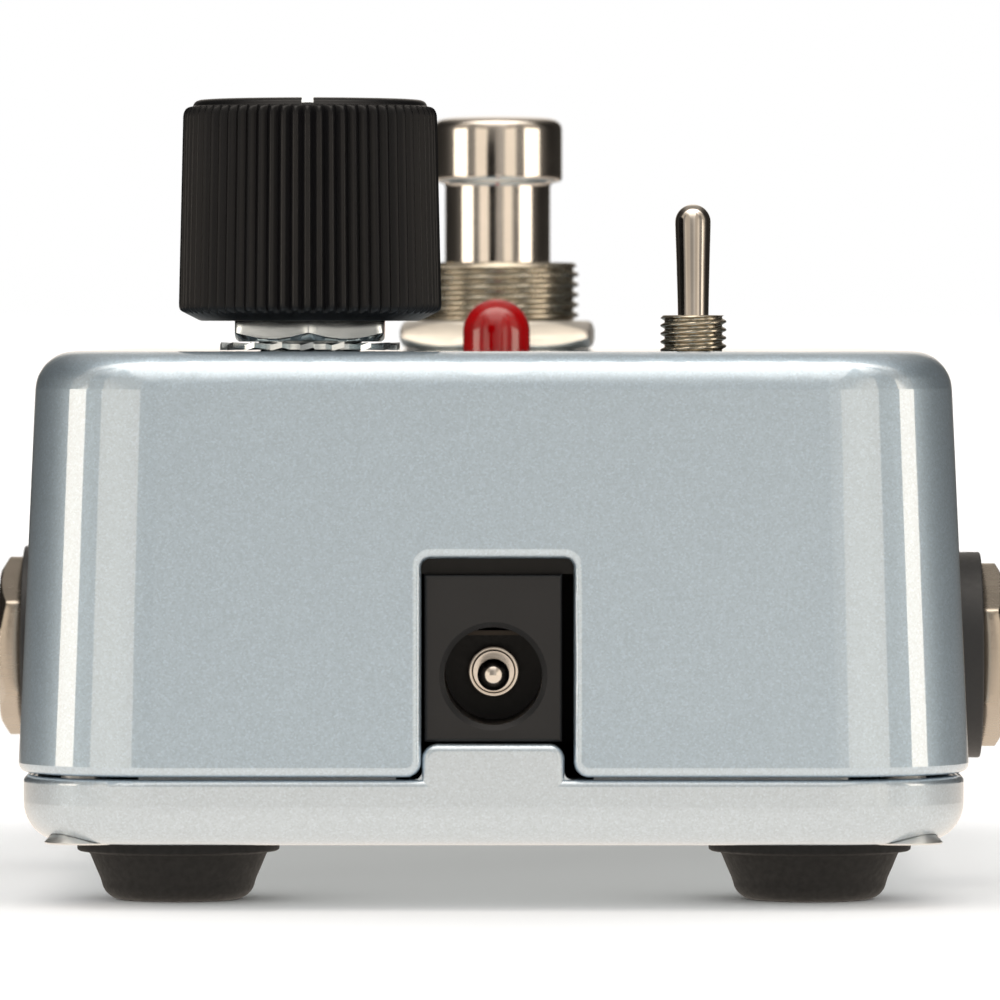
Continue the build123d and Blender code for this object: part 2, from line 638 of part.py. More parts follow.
# ---------------------------------------------------------------- quarter-inch jacks
# Built for the +X wall on the line y = 0, then placed.
JACK_BORE_R, JACK_BUSH_R = 3.2, 4.5
JACK_NUT_AF = 11.0
JACK_HALF_W = 7.0
JACK_CONTACT_Y = 5.0
WALL_X = BODY_W / 2 - SLOPE * (JACK_Z - Z_OPEN)     # outer face of the wall at the jack
JACK_X0, JACK_X1 = 1.6, WALL_X - WALL - 0.35
WASHER_X0, WASHER_X1 = WALL_X + 0.34, WALL_X + 2.12
along_x = Pos(0, 0, JACK_Z) * Rot(0, 90, 0)         # turns a Z-axis part onto the jack axis


def jack_body():
    half_w, z = JACK_HALF_W, JACK_Z
    shell = box(JACK_X0, JACK_X1, -half_w, half_w, z - 6.0, PCB_Z0 - 0.02)
    shell = fillet(shell.edges().filter_by(Axis.X), 0.6)
    shell -= box(
        JACK_X0 + 1.5, JACK_X1 - 3.0, 1.2 - half_w, half_w - 1.2, z - 4.8, PCB_Z0 - 1.2)
    shell -= cyl_x(4.52, JACK_X1 - 3.2, JACK_X1 + 2, z=z)
    for side in SIDES:
        for x in (7.6, 19.6):
            shell -= block(0.6, 0.9, PCB_Z0 - 3, PCB_Z0 + 1, x, JACK_CONTACT_Y * side)
    return shell


def jack_bushing():
    return along_x * turned(
        [(JACK_BORE_R, JACK_X1 - 3.1), (4.48, JACK_X1 - 3.1), (4.48, JACK_X1 - 0.05)]
        + thread(JACK_BUSH_R, 4.15, 0.75, JACK_X1, 34.7)
        + [(4.1, 35.0), (JACK_BORE_R + 0.25, 35.0), (JACK_BORE_R, 34.75)])


def jack_washer():
    return along_x * turned([
        (4.62, WASHER_X0), (6.9, WASHER_X0), (7.05, WASHER_X0 + 0.15),
        (7.05, WASHER_X1 - 0.15), (6.9, WASHER_X1), (4.62, WASHER_X1),
    ])


def jack_contact(side, x, arm_l):
    """Post up to the board with an arm along the jack."""
    y = JACK_CONTACT_Y * side
    post = box(x, x + 0.5, y - 0.7, y + 0.7, JACK_Z + 1.0, WIRE_END_Z)
    return post + box(x, x + arm_l, y - 0.2, y + 0.2, JACK_Z - 1.2, JACK_Z + 1.2)


for name, place in (
    ("input_jack", Pos(0, IN_Y, 0)),
    ("output_jack", Pos(0, OUT_Y, 0) * Rot(0, 0, 180)),
):
    jack_nut = along_x * nut(JACK_NUT_AF, 4.53, WASHER_X1 + 0.02, 34.85, 0.0, False)
    save(name + "_body", place * jack_body())
    save(name + "_bushing", place * jack_bushing())
    save(name + "_washer", place * jack_washer())
    save(name + "_nut", place * jack_nut)
    save(name + "_contacts",
         place * jack_contact(-1, 7.3, 9.0), place * jack_contact(1, 19.3, 4.0))

# ---------------------------------------------------------------- power jack
DC_W, DC_L, DC_H = 9.0, 14.4, 10.95
DC_AXIS_Z = PCB_Z0 - 6.65
DC_BORE_R, DC_BORE_END = 3.2, DC_Y0 + 9.6
DC_PIN_R = 1.05
DC_TAIL_TOP = 24.6
dc_axis = Pos(0, DC_Y0, DC_AXIS_Z) * Rot(-90, 0, 0)   # Z of a turned part runs along +Y


def dc_jack_body():
    shell = box(-DC_W / 2, DC_W / 2, DC_Y0, DC_Y0 + DC_L, PCB_Z0 - DC_H, PCB_Z0 - 0.02)
    shell = fillet([e for e in shell.edges() if e.center().Y < DC_Y0 + 0.01], 0.25)
    shell -= cyl_y(DC_BORE_R, DC_Y0 - 1, DC_BORE_END, z=DC_AXIS_Z)
    shell -= dc_axis * turned([
        (0, -0.1), (DC_BORE_R + 0.45, -0.1), (DC_BORE_R, 0.35), (0, 0.35),
    ])
    shell -= box(-2.35, 2.35, DC_Y0 + 1.2, DC_BORE_END, DC_AXIS_Z, DC_AXIS_Z + 3.6)
    shell -= cyl_y(0.8, DC_Y0 + 9, DC_Y0 + 20, z=DC_AXIS_Z)
    # slots for the pin's tag and for the contact
    shell -= box(-1.4, 1.4, DC_Y0 + 13.4, DC_Y0 + 15, DC_AXIS_Z - 1, PCB_Z0 + 1)
    return shell - box(-1.2, 1.2, DC_Y0 + 8.0, DC_Y0 + 8.9, DC_AXIS_Z, PCB_Z0 + 1)


def dc_jack_pin():
    pin = turned([
        (0, 1.9), (0.4, 1.95), (0.72, 2.12), (0.93, 2.42), (1.02, 2.7), (DC_PIN_R, 2.9),
        (DC_PIN_R, 8.4), (1.72, 8.45), (1.72, 9.55), (0, 9.55),
    ]) + cyl(0.78, 9.5, 13.9)
    y0, y1 = DC_Y0 + 13.5, DC_Y0 + 13.9
    tag = box(-1.3, 1.3, y0, y1, DC_AXIS_Z - 0.9, 21.65)
    return dc_axis * pin + (tag + box(-0.5, 0.5, y0, y1, 20.0, DC_TAIL_TOP))


def dc_jack_contact():
    y0, y1, z = DC_Y0 + 8.1, DC_Y0 + 8.5, DC_AXIS_Z + 2.62
    leaf = box(-2.1, 2.1, DC_Y0 + 2.4, DC_Y0 + 8.4, z, z + 0.3)
    leaf += box(-1.1, 1.1, y0, y1, z, PCB_Z0 - 0.1)
    return leaf + box(-0.5, 0.5, y0, y1, PCB_Z0 - 0.2, DC_TAIL_TOP)


save("dc_jack_body", dc_jack_body())
save("dc_jack_pin", dc_jack_pin())
save("dc_jack_contact", dc_jack_contact())

# ---------------------------------------------------------------- circuit board
PCB_HALF_W, PCB_Y0, PCB_Y1 = 25.5, -53.9, 12.6
CHIP_PITCH = 1.27
# x, y, width over the legs, length
CHIPS = [
    (-6.0, -14.5, 6.2, 10.2), (6.5, -14.5, 6.2, 10.2),
    (17.5, -16.0, 4.0, 5.0), (-17.5, -14.5, 4.0, 5.0),
]
# x, y
FILM_CAPS = [
    (6.0, -4.5), (11.0, -4.5), (16.0, -4.5), (21.0, -4.5),
    (21.0, 1.5), (16.0, 1.5), (-21.0, 4.5), (-16.0, 4.5),
]
# x, y, radius, height
ELECTROLYTICS = [
    (-20.5, -22.5, 2.5, 7.0), (21.5, -24.0, 2.5, 7.0),
    (-9.5, 6.5, 3.15, 8.0), (9.5, 7.5, 2.5, 7.0),
]


def main_pcb():
    z0, z1 = PCB_Z0 - 1, PCB_Z1 + 1     # limits of the cutters
    board = box(-PCB_HALF_W, PCB_HALF_W, PCB_Y0, PCB_Y1, PCB_Z0, PCB_Z1)
    board = fillet(board.edges().filter_by(Axis.Z), 2.0)
    for side in SIDES:
        board -= box(side * 23.2, side * 27, PCB_Y0 - 1, -48.3, z0, z1)
    for k in (-1, 0, 1):
        board -= cyl(0.75, z0, z1, KNOB_X + POT_PITCH * k, KNOB_Y - 10.98)
        board -= block(0.8, 0.4, z0, z1, TOGGLE_X, TOGGLE_Y + TOGGLE_PITCH * k)
    for side in SIDES:
        board -= cyl(0.55, z0, z1, LED_X + LEAD_PITCH / 2 * side, LED_Y)
    for y in (13.7, 8.3):
        board -= cyl(0.85, z0, z1, 0, DC_Y0 + y)
    return board


def chip(x, y, width, length):
    package = block(width / 2 - 1.0, length / 2, PCB_Z1 + 0.12, PCB_Z1 + 1.7, x, y)
    legs = int(length / CHIP_PITCH)
    for k in range(legs):
        leg_y = y + (k - (legs - 1) / 2) * CHIP_PITCH
        package += block(width / 2, 0.2, PCB_Z1 + 0.02, PCB_Z1 + 0.62, x, leg_y)
    return package


def resistor(column, row):
    x, y = -22.0 + 2.9 * column, -4.2 + 2.6 * row
    return box(x, x + 2.0, y, y + 1.25, PCB_Z1 + 0.01, PCB_Z1 + 0.6)


def electrolytic(x, y, r, height):
    can = cyl(r, PCB_Z1 + 0.3, PCB_Z1 + height, x, y)
    return can + cyl(r - 0.35, PCB_Z1 + 0.02, PCB_Z1 + 0.4, x, y)


save("main_pcb", main_pcb())
save("pcb_chips", *[chip(*row) for row in CHIPS])
save("pcb_resistors", *[resistor(i, j) for i in range(8) for j in range(2)])
save("pcb_film_caps",
     *[block(1.25, 2.2, PCB_Z1 + 0.02, PCB_Z1 + 5.2, x, y) for x, y in FILM_CAPS])
save("pcb_electrolytics", *[electrolytic(*row) for row in ELECTROLYTICS])

# ---------------------------------------------------------------- battery and wiring
BATTERY_X0, BATTERY_X1 = -23.95, 22.25
BATTERY_Y0, BATTERY_Y1 = 35.45, 52.85
BATTERY_Z0, BATTERY_Z1 = 6.25, 31.8
BATTERY_Y = (BATTERY_Y0 + BATTERY_Y1) / 2
BATTERY_Z = (BATTERY_Z0 + BATTERY_Z1) / 2
STUD_X1 = BATTERY_X1 + 2.1
STUDS = ((BATTERY_Z - 6.35, 2.85), (BATTERY_Z + 6.35, 3.6))     # height, radius
SOCKET_X1 = STUD_X1 + 0.02
SNAP_X1 = SOCKET_X1 + 1.7


def battery():
    cell = box(BATTERY_X0, BATTERY_X1, BATTERY_Y0, BATTERY_Y1, BATTERY_Z0, BATTERY_Z1)
    cell = fillet(cell.edges().filter_by(Axis.X), 1.6)
    ends = cell.edges().group_by(Axis.X)
    cell = fillet(ends[0] + ends[-1], 0.5)
    for z, r in STUDS:
        cell += cyl_x(r, BATTERY_X1 - 0.1, STUD_X1, BATTERY_Y, z)
    return cell


def battery_snap():
    snap = box(
        BATTERY_X1 + 0.05, SNAP_X1, BATTERY_Y - 4.5, BATTERY_Y + 4.5,
        BATTERY_Z - 12.2, BATTERY_Z + 12.2)
    snap = fillet(snap.edges().filter_by(Axis.X), 2.0)
    for z, r in STUDS:
        snap -= cyl_x(r + 0.15, BATTERY_X1 - 0.2, SOCKET_X1, BATTERY_Y, z)
    return snap


def battery_wire(rise, x, z):
    """Wire from the snap, rise off its middle, to the board at x, by way of height z."""
    return wire([
        (SNAP_X1 - 1.0, BATTERY_Y - 4.52, BATTERY_Z + rise * 0.9),
        (25.6, 35.2, 20.0 + rise * 0.5), (22.5, 26.0, z + 2.0),
        (x, 15.0, z), (x, 11.0, WIRE_END_Z),
    ], 0.62)


def footswitch_wire(k):
    """Wire from one lug of the -Y row to the board."""
    x = LUG_PITCH_X * k
    return wire([
        (x, SWITCH_Y - LUG_Y - 0.98, 14.4),
        (x * 1.05, SWITCH_Y - 8.5, 13.2 - 0.3 * (k + 1)),
        (x * 1.1, 15.5, 15.0), (x * 1.1, 11.2, WIRE_END_Z),
    ], 0.55)


save("battery_9v", battery())
save("battery_snap", battery_snap())
save("battery_wire_red", battery_wire(9.0, 19.0, 18.0))
save("battery_wire_black", battery_wire(-9.0, 16.5, 15.5))
save("footswitch_wires", *[footswitch_wire(k) for k in (-1, 0, 1)])
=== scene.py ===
# An effect pedal: a painted box with a knob, a toggle switch, a lamp and a footswitch on top,
# a jack on each side, a power socket and four rubber feet.
# It stands on z = 0 with +Z up. The camera looks along +Y at its front, and +X is on the right.
# Sizes and places are in millimetres, and MM turns them into metres. Shader lengths are metres.
import bpy
import json
import math
from mathutils import Matrix, Vector


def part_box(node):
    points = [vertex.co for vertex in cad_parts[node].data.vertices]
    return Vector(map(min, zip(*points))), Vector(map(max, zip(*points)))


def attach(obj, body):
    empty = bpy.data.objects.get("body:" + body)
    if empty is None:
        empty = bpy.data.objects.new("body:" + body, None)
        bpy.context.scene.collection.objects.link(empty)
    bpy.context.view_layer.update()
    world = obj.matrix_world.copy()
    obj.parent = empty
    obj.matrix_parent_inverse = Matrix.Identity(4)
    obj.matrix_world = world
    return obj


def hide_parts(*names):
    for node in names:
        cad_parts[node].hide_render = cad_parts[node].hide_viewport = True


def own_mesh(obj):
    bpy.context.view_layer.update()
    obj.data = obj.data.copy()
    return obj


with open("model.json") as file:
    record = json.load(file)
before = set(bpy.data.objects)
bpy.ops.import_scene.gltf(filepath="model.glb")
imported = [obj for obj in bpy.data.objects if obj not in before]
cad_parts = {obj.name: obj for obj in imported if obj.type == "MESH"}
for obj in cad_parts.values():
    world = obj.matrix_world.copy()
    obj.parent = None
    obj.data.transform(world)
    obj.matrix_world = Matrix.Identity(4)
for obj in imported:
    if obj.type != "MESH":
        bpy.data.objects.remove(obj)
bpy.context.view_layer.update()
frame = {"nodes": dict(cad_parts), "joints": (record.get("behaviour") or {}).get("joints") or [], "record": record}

MM = 0.001


# ------------------------------------------------------------------ places, read from the frame
def low(node):
    return [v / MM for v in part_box(node)[0]]


def high(node):
    return [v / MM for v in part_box(node)[1]]


def centre(node):
    lo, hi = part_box(node)
    return [(lo[i] + hi[i]) / 2 / MM for i in range(3)]


def joint_place(name):
    joint = [j for j in frame["joints"] if j["name"] == name][0]
    return [v / MM for v in joint["pos_m"]]


KNOB = joint_place("knob_turn")
FOOTSWITCH = centre("footswitch_bushing")
TOGGLE = joint_place("toggle_flip")


# ------------------------------------------------------------------ node helpers
class Nodes:
    """Short ways to add and link nodes in the tree of a material or world."""

    def __init__(self, owner, clear=False):
        owner.use_nodes = True
        self.tree = owner.node_tree
        if clear:
            for node in list(self.tree.nodes):
                self.tree.nodes.remove(node)

    def feed(self, node, inputs):
        """Link each input given as a socket, and set each one given as a value."""
        for key, value in inputs.items():
            if isinstance(value, bpy.types.NodeSocket):
                self.tree.links.new(value, node.inputs[key])
            else:
                node.inputs[key].default_value = value

    def add(self, kind, inputs=None, **properties):
        node = self.tree.nodes.new(kind)
        for key, value in properties.items():
            setattr(node, key, value)
        self.feed(node, inputs or {})
        return node

    def math(self, operation, first, second=0.0, clamp=False):
        inputs = {0: first, 1: second}
        node = self.add("ShaderNodeMath", inputs, operation=operation, use_clamp=clamp)
        return node.outputs[0]

    def map_range(self, value, source, target):
        """Carry the source range (min, max) onto the target range."""
        return self.add("ShaderNodeMapRange", {
            "Value": value,
            "From Min": source[0], "From Max": source[1],
            "To Min": target[0], "To Max": target[1],
        }).outputs["Result"]

    def split(self, vector):
        return self.add("ShaderNodeSeparateXYZ", {0: vector}).outputs

    def mix(self, factor, first, second):
        """Show the first shader where the factor is 0 and the second where it is 1."""
        return self.add("ShaderNodeMixShader", {0: factor, 1: first, 2: second}).outputs[0]


class Finish(Nodes):
    """A material with one Principled surface, textured in object space."""

    def __init__(self, name):
        self.material = bpy.data.materials.new(name)
        super().__init__(self.material)
        self.principled = self.tree.nodes["Principled BSDF"]
        self.place = self.add("ShaderNodeTexCoord").outputs["Object"]

    def surface(self, inputs):
        self.feed(self.principled, inputs)

    def stretched(self, scale):
        inputs = {"Vector": self.place, "Scale": scale}
        return self.add("ShaderNodeMapping", inputs).outputs["Vector"]

    def noise(self, scale, detail, vector=None):
        return self.add("ShaderNodeTexNoise", {
            "Vector": self.place if vector is None else vector,
            "Scale": scale, "Detail": detail, "Roughness": 0.5,
        }).outputs["Fac"]

    def ramp(self, factor, stops):
        """Colour ramp from (position, colour) stops."""
        node = self.add("ShaderNodeValToRGB", {"Fac": factor})
        elements = node.color_ramp.elements
        while len(elements) < len(stops):
            elements.new(0.5)
        for i, (position, colour) in enumerate(stops):
            elements[i].position = position
            elements[i].color = colour
        return node.outputs["Color"]

    def bump(self, height, strength, distance):
        inputs = {"Height": height, "Strength": strength, "Distance": distance}
        return self.add("ShaderNodeBump", inputs).outputs["Normal"]


# ------------------------------------------------------------------ materials
def srgb(*channels):
    """Linear colour from 0-255 display values."""
    out = []
    for c in channels:
        c = c / 255.0
        out.append(c / 12.92 if c <= 0.04045 else ((c + 0.055) / 1.055) ** 2.4)
    return (*out, 1.0)


def shade(colour, factor):
    return (*(min(1, c * factor) for c in colour[:3]), 1.0)


def paint(name, colour):
    """Metal-flake paint under a sharp clear coat with a slow unevenness."""
    finish = Finish(name)
    cells = finish.add("ShaderNodeTexVoronoi", {"Vector": finish.place, "Scale": 9000.0})
    flake = finish.add("ShaderNodeSeparateColor", {"Color": cells.outputs["Color"]}).outputs
    # Roughness and the base colour then vary from flake to flake.
    finish.surface({
        "Metallic": 0.92, "Roughness": 0.44,
        "Coat Weight": 1.0, "Coat Roughness": 0.015, "Coat IOR": 2.35,
    })
    tints = [(0.0, 0.89), (0.45, 0.98), (0.8, 1.02), (1.0, 1.12)]
    stops = [(position, shade(colour, factor)) for position, factor in tints]
    waves = finish.noise(scale=95.0, detail=1.0)
    peel = finish.noise(scale=420.0, detail=2.0)
    height = finish.math("ADD", finish.math("MULTIPLY", waves, 1.0),
                         finish.math("MULTIPLY", peel, 0.12))
    normal = finish.bump(height, strength=0.22, distance=0.00012)
    finish.surface({
        "Base Color": finish.ramp(flake["Red"], stops),
        "Roughness": finish.map_range(flake["Green"], source=(0.0, 1.0), target=(0.42, 0.50)),
        "Coat Normal": normal,
        "Normal": normal,
    })
    return finish.material


def metal(name, colour, roughness, scratch, scale=900.0, stretch=(1, 1, 14)):
    """Metal with fine drawn lines (scale, stretch, scratch depth) and small changes of polish."""
    finish = Finish(name)
    lines = finish.noise(scale=scale, detail=4.0, vector=finish.stretched(stretch))
    cloud = finish.noise(scale=220.0, detail=3.0)
    drawn = finish.map_range(lines, source=(0.3, 0.7), target=(roughness * 0.85, roughness * 1.15))
    polish = finish.map_range(cloud, source=(0.35, 0.65), target=(-0.02, 0.03))
    finish.surface({"Metallic": 1.0, "Roughness": roughness})
    finish.surface({
        "Base Color": finish.ramp(cloud, [(0.3, shade(colour, 0.93)), (0.7, shade(colour, 1.04))]),
        "Roughness": finish.math("ADD", drawn, polish),
        "Normal": finish.bump(lines, strength=scratch, distance=0.00002),
    })
    return finish.material


def plastic(name, colour, roughness, grain, scale=3500.0, specular=0.5, coat=0.0):
    """Moulded plastic with a fine grain (scale, grain depth)."""
    finish = Finish(name)
    grains = finish.noise(scale=scale, detail=3.0)
    cloud = finish.noise(scale=160.0, detail=3.0)
    finish.surface({
        "Base Color": finish.ramp(cloud, [(0.25, shade(colour, 0.85)), (0.75, shade(colour, 1.15))]),
        "Roughness": finish.map_range(grains, source=(0.3, 0.7),
                                      target=(roughness * 0.9, min(1.0, roughness * 1.1))),
        "Specular IOR Level": specular,
        "Coat Weight": coat,
        "Normal": finish.bump(grains, strength=grain, distance=0.00003),
    })
    return finish.material


def lamp_plastic(name):
    """Glossy, slightly translucent red."""
    finish = Finish(name)
    cloud = finish.noise(scale=500.0, detail=2.0)
    finish.surface({
        "Base Color": finish.ramp(cloud, [(0.3, srgb(150, 0, 4)), (0.7, srgb(166, 2, 8))]),
        "Roughness": 0.06, "Specular IOR Level": 0.45,
        "Coat Weight": 0.6, "Coat Roughness": 0.02, "Coat IOR": 1.6,
        "Subsurface Weight": 0.2, "Subsurface Radius": (0.002, 0.0003, 0.0003),
        "Subsurface Scale": 0.5,
        "Normal": finish.bump(cloud, strength=0.02, distance=0.00002),
    })
    return finish.material


# maker, slot name, display colour, settings
FINISHES = [
    (paint, "casting_paint", (186, 206, 222), {}),
    (paint, "lid_paint", (190, 206, 219), {}),
    (metal, "zinc_screw", (228, 230, 230), dict(roughness=0.42, scratch=0.1)),
    (plastic, "feet_rubber", (22, 22, 22),
     dict(roughness=0.72, grain=0.25, scale=2600.0, specular=0.35)),
    (plastic, "knob_plastic", (13, 13, 15),
     dict(roughness=0.34, grain=0.12, scale=4000.0, specular=0.27)),
    (plastic, "pointer_ink", (236, 236, 232), dict(roughness=0.4, grain=0.05)),
    (metal, "brass", (214, 176, 100), dict(roughness=0.25, scratch=0.1)),
    (metal, "black_steel", (70, 70, 70), dict(roughness=0.35, scratch=0.1)),
    (metal, "zinc_bright", (222, 230, 234),
     dict(roughness=0.22, scratch=0.12, scale=700.0, stretch=(1, 1, 6))),
    (metal, "aluminium", (225, 225, 225), dict(roughness=0.3, scratch=0.1)),
    (plastic, "black_plastic", (26, 26, 27),
     dict(roughness=0.42, grain=0.10, scale=3800.0, specular=0.38)),
    (metal, "nickel", (222, 215, 206), dict(roughness=0.11, scratch=0.03, stretch=(1, 1, 10))),
    # Darker copy of nickel for the threads: painted shade, standing in for the shade between the thread's turns.
    (metal, "nickel_thread", (190, 182, 166),
     dict(roughness=0.24, scratch=0.05, stretch=(1, 1, 4))),
    # Darker copy of nickel for the jack nuts: painted shade, standing in for the dark reflections on their facets.
    (metal, "nickel_dull", (182, 173, 161),
     dict(roughness=0.24, scratch=0.12, scale=700.0, stretch=(1, 1, 8))),
    # Lighter copy of nickel for the footswitch nut: painted light, standing in for the bright reflections it
    # shows.
    (metal, "nickel_nut", (240, 236, 228),
     dict(roughness=0.36, scratch=0.08, scale=700.0, stretch=(1, 1, 8))),
    (plastic, "phenolic", (150, 104, 60), dict(roughness=0.5, grain=0.1)),
    (metal, "tinned", (214, 214, 210), dict(roughness=0.3, scratch=0.1)),
    # Darker copy of nickel for the power socket's contact leaf: painted shade, as the leaf sits deep in the
    # socket's bore.
    (metal, "dark_contact", (58, 54, 50), dict(roughness=0.4, scratch=0.1)),
    (metal, "silver_contact", (226, 224, 218), dict(roughness=0.22, scratch=0.08)),
    (plastic, "blue_plastic", (44, 96, 172), dict(roughness=0.3, grain=0.08)),
    (plastic, "white_plastic", (230, 230, 226), dict(roughness=0.4, grain=0.05)),
    (metal, "spring_steel", (180, 180, 180), dict(roughness=0.25, scratch=0.08)),
    (plastic, "pcb_mask", (12, 13, 12),
     dict(roughness=0.35, grain=0.03, scale=1500.0, specular=0.25, coat=0.1)),
    (plastic, "chip_epoxy", (38, 38, 38), dict(roughness=0.6, grain=0.15)),
    (plastic, "chip_ceramic", (46, 46, 50), dict(roughness=0.4, grain=0.05)),
    (plastic, "film_red", (172, 48, 36), dict(roughness=0.3, grain=0.06)),
    (plastic, "can_sleeve", (34, 36, 66), dict(roughness=0.35, grain=0.04)),
    (plastic, "battery_sleeve", (58, 60, 66), dict(roughness=0.35, grain=0.04)),
    (plastic, "black_vinyl", (38, 38, 38), dict(roughness=0.6, grain=0.12)),
    (plastic, "wire_red", (180, 30, 28), dict(roughness=0.35, grain=0.03)),
    (plastic, "wire_black", (34, 34, 34), dict(roughness=0.35, grain=0.03)),
    (plastic, "wire_white", (222, 222, 216), dict(roughness=0.35, grain=0.03)),
    (plastic, "washer_black", (34, 34, 35), dict(roughness=0.5, grain=0.08)),
]
MATERIALS = {name: maker(name, srgb(*colour), **settings)
             for maker, name, colour, settings in FINISHES}
MATERIALS["led_red"] = lamp_plastic("led_red")


def dress_cad_pieces():
    """Give every piece of the frame the material of its slot."""
    slot_of = {part["node"]: part["material_slot"] for part in frame["record"]["subparts"]}
    for name, piece in frame["nodes"].items():
        material = MATERIALS[slot_of[name]]
        if piece.material_slots:
            for slot in piece.material_slots:
                slot.link = "OBJECT"
                slot.material = material
        else:
            piece.data.materials.append(material)


# ------------------------------------------------------------------ mesh helpers
# A shape is a pair (vertices, faces). A profile is a list of (radius, z) points.
POLE = 1e-4  # radius of a profile point that stands on the axis


def make(name, shape, slot, replaces, body="housing", sharp=30, place=None):
    """Build a smooth-shaded object that takes the place of one CAD piece."""
    vertices, faces = shape
    mesh = bpy.data.meshes.new(name)
    mesh.from_pydata([(x * MM, y * MM, z * MM) for x, y, z in vertices], [], faces)
    mesh.validate()
    obj = bpy.data.objects.new(name, mesh)
    bpy.context.scene.collection.objects.link(obj)
    if place is not None:
        mesh.transform(place)
    mesh.polygons.foreach_set("use_smooth", [True] * len(mesh.polygons))
    mesh.set_sharp_from_angle(angle=math.radians(sharp))
    mesh.materials.append(MATERIALS[slot])
    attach(obj, body)
    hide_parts(replaces)
    mesh.update()
    return obj


def shift(place):
    """Translation matrix for a place in millimetres."""
    return Matrix.Translation(Vector([v * MM for v in place]))


def skin(rings, capped=False):
    """Join closed rings of equal length, with end caps if asked."""
    n = len(rings[0])
    faces = []
    for i in range(len(rings) - 1):
        a, b = i * n, (i + 1) * n
        for j in range(n):
            k = (j + 1) % n
            faces.append((a + j, a + k, b + k, b + j))
    if capped:
        last = (len(rings) - 1) * n
        faces.append(tuple(reversed(range(n))))
        faces.append(tuple(range(last, last + n)))
    return [vertex for ring in rings for vertex in ring], faces


def moved(shape, place):
    """Shift a shape in x and y."""
    vertices, faces = shape
    return [(x + place[0], y + place[1], z) for x, y, z in vertices], faces


def joined(*shapes):
    vertices, faces = [], []
    for shape_vertices, shape_faces in shapes:
        start = len(vertices)
        vertices += shape_vertices
        faces += [tuple(i + start for i in face) for face in shape_faces]
    return vertices, faces


def polar(radius, angle, z):
    return (radius * math.cos(angle), radius * math.sin(angle), z)


def circle(radius, z, count):
    return [polar(radius, 2 * math.pi * j / count, z) for j in range(count)]


def arc(centre_r, centre_z, radius, start, end, steps):
    """Profile points on an arc, with angles in degrees from the outward direction."""
    angles = [math.radians(start + (end - start) * i / steps) for i in range(steps + 1)]
    return [(centre_r + radius * math.cos(a), centre_z + radius * math.sin(a)) for a in angles]


def held(profile, near=0.05, long=0.45):
    """Add points near the ends of long stretches, so that they shade straight."""
    out = [profile[0]]
    for a, b in zip(profile, profile[1:]):
        length = math.dist(a, b)
        if length > long:
            for t in (near / length, 1 - near / length):
                out.append((a[0] + (b[0] - a[0]) * t, a[1] + (b[1] - a[1]) * t))
        out.append(b)
    return out


def lathe(profile, sides):
    """Turn a profile about the z axis."""
    return skin([circle(radius, z, sides) for radius, z in held(profile)])


def soften(profile, radius, steps=3):
    """Round the corners of a profile between its two end points."""
    out = [profile[0]]
    for before, point, after in zip(profile, profile[1:], profile[2:]):
        corner = Vector(point)
        back, ahead = Vector(before) - corner, Vector(after) - corner
        if (back.length < 1e-6 or ahead.length < 1e-6
                or abs(back.x * ahead.y - back.y * ahead.x) < 1e-9):
            out.append(tuple(corner))
            continue
        reach = min(radius, back.length * 0.45, ahead.length * 0.45)
        start = corner + back.normalized() * reach
        end = corner + ahead.normalized() * reach
        for k in range(steps + 1):
            t = k / steps
            mid = start * (1 - t) ** 2 + corner * 2 * t * (1 - t) + end * t ** 2
            out.append((mid.x, mid.y))
    out.append(profile[-1])
    return out


# Stations along one side of a hexagon, as shares of the side, closer together at the corners.
HEX_STATIONS = [0.0, 0.012, 0.05] + [i / 10 for i in range(1, 10)] + [0.95, 0.988]


def hex_nut(across_flats, z0, z1, hole, turn, chamfer_below=True):
    """Hexagon nut with 30 degree chamfers, softened corners and a countersunk hole radius."""
    angles = [60 * s + 60 * t for s in range(6) for t in HEX_STATIONS]
    face = across_flats / 2 * 0.965  # radius of the flat end face
    corner_limit = across_flats / math.sqrt(3) - 0.10
    edge = 0.10

    def side(angle):
        radius = across_flats / 2 / math.cos(math.radians((angle % 60) - 30))
        if radius > corner_limit:
            return min(radius, corner_limit + (radius - corner_limit) * 0.25)
        return radius

    def round_ring(radius, z):
        return [polar(radius, math.radians(a + turn), z) for a in angles]

    def hex_ring(inset, z, chamfer):
        """A ring on the six sides. Chamfer 1 lifts it toward the corners and -1 drops it."""
        ring = []
        for a in angles:
            slope = max(0.0, side(a) - face) * math.tan(math.radians(30))
            ring.append(polar(side(a) - inset, math.radians(a + turn), z + chamfer * slope))
        return ring

    below = 1 if chamfer_below else 0
    return skin([
        round_ring(hole + 0.35, z0),
        round_ring(face - 0.02, z0),
        hex_ring(edge * 0.5, z0 + 0.02 * below, below),
        hex_ring(0, z0 + edge, below),
        hex_ring(0, z1 - edge, -1),
        hex_ring(edge * 0.35, z1 - edge * 0.25, -1),
        round_ring(face + 0.06, z1 - 0.045),
        round_ring(face - 0.08, z1),
        round_ring(hole + 0.42, z1),
        round_ring(hole + 0.30, z1 - 0.06),
        round_ring(hole, z1 - 0.36),
        round_ring(hole, z0 + 0.3),
        round_ring(hole + 0.35, z0),
    ])


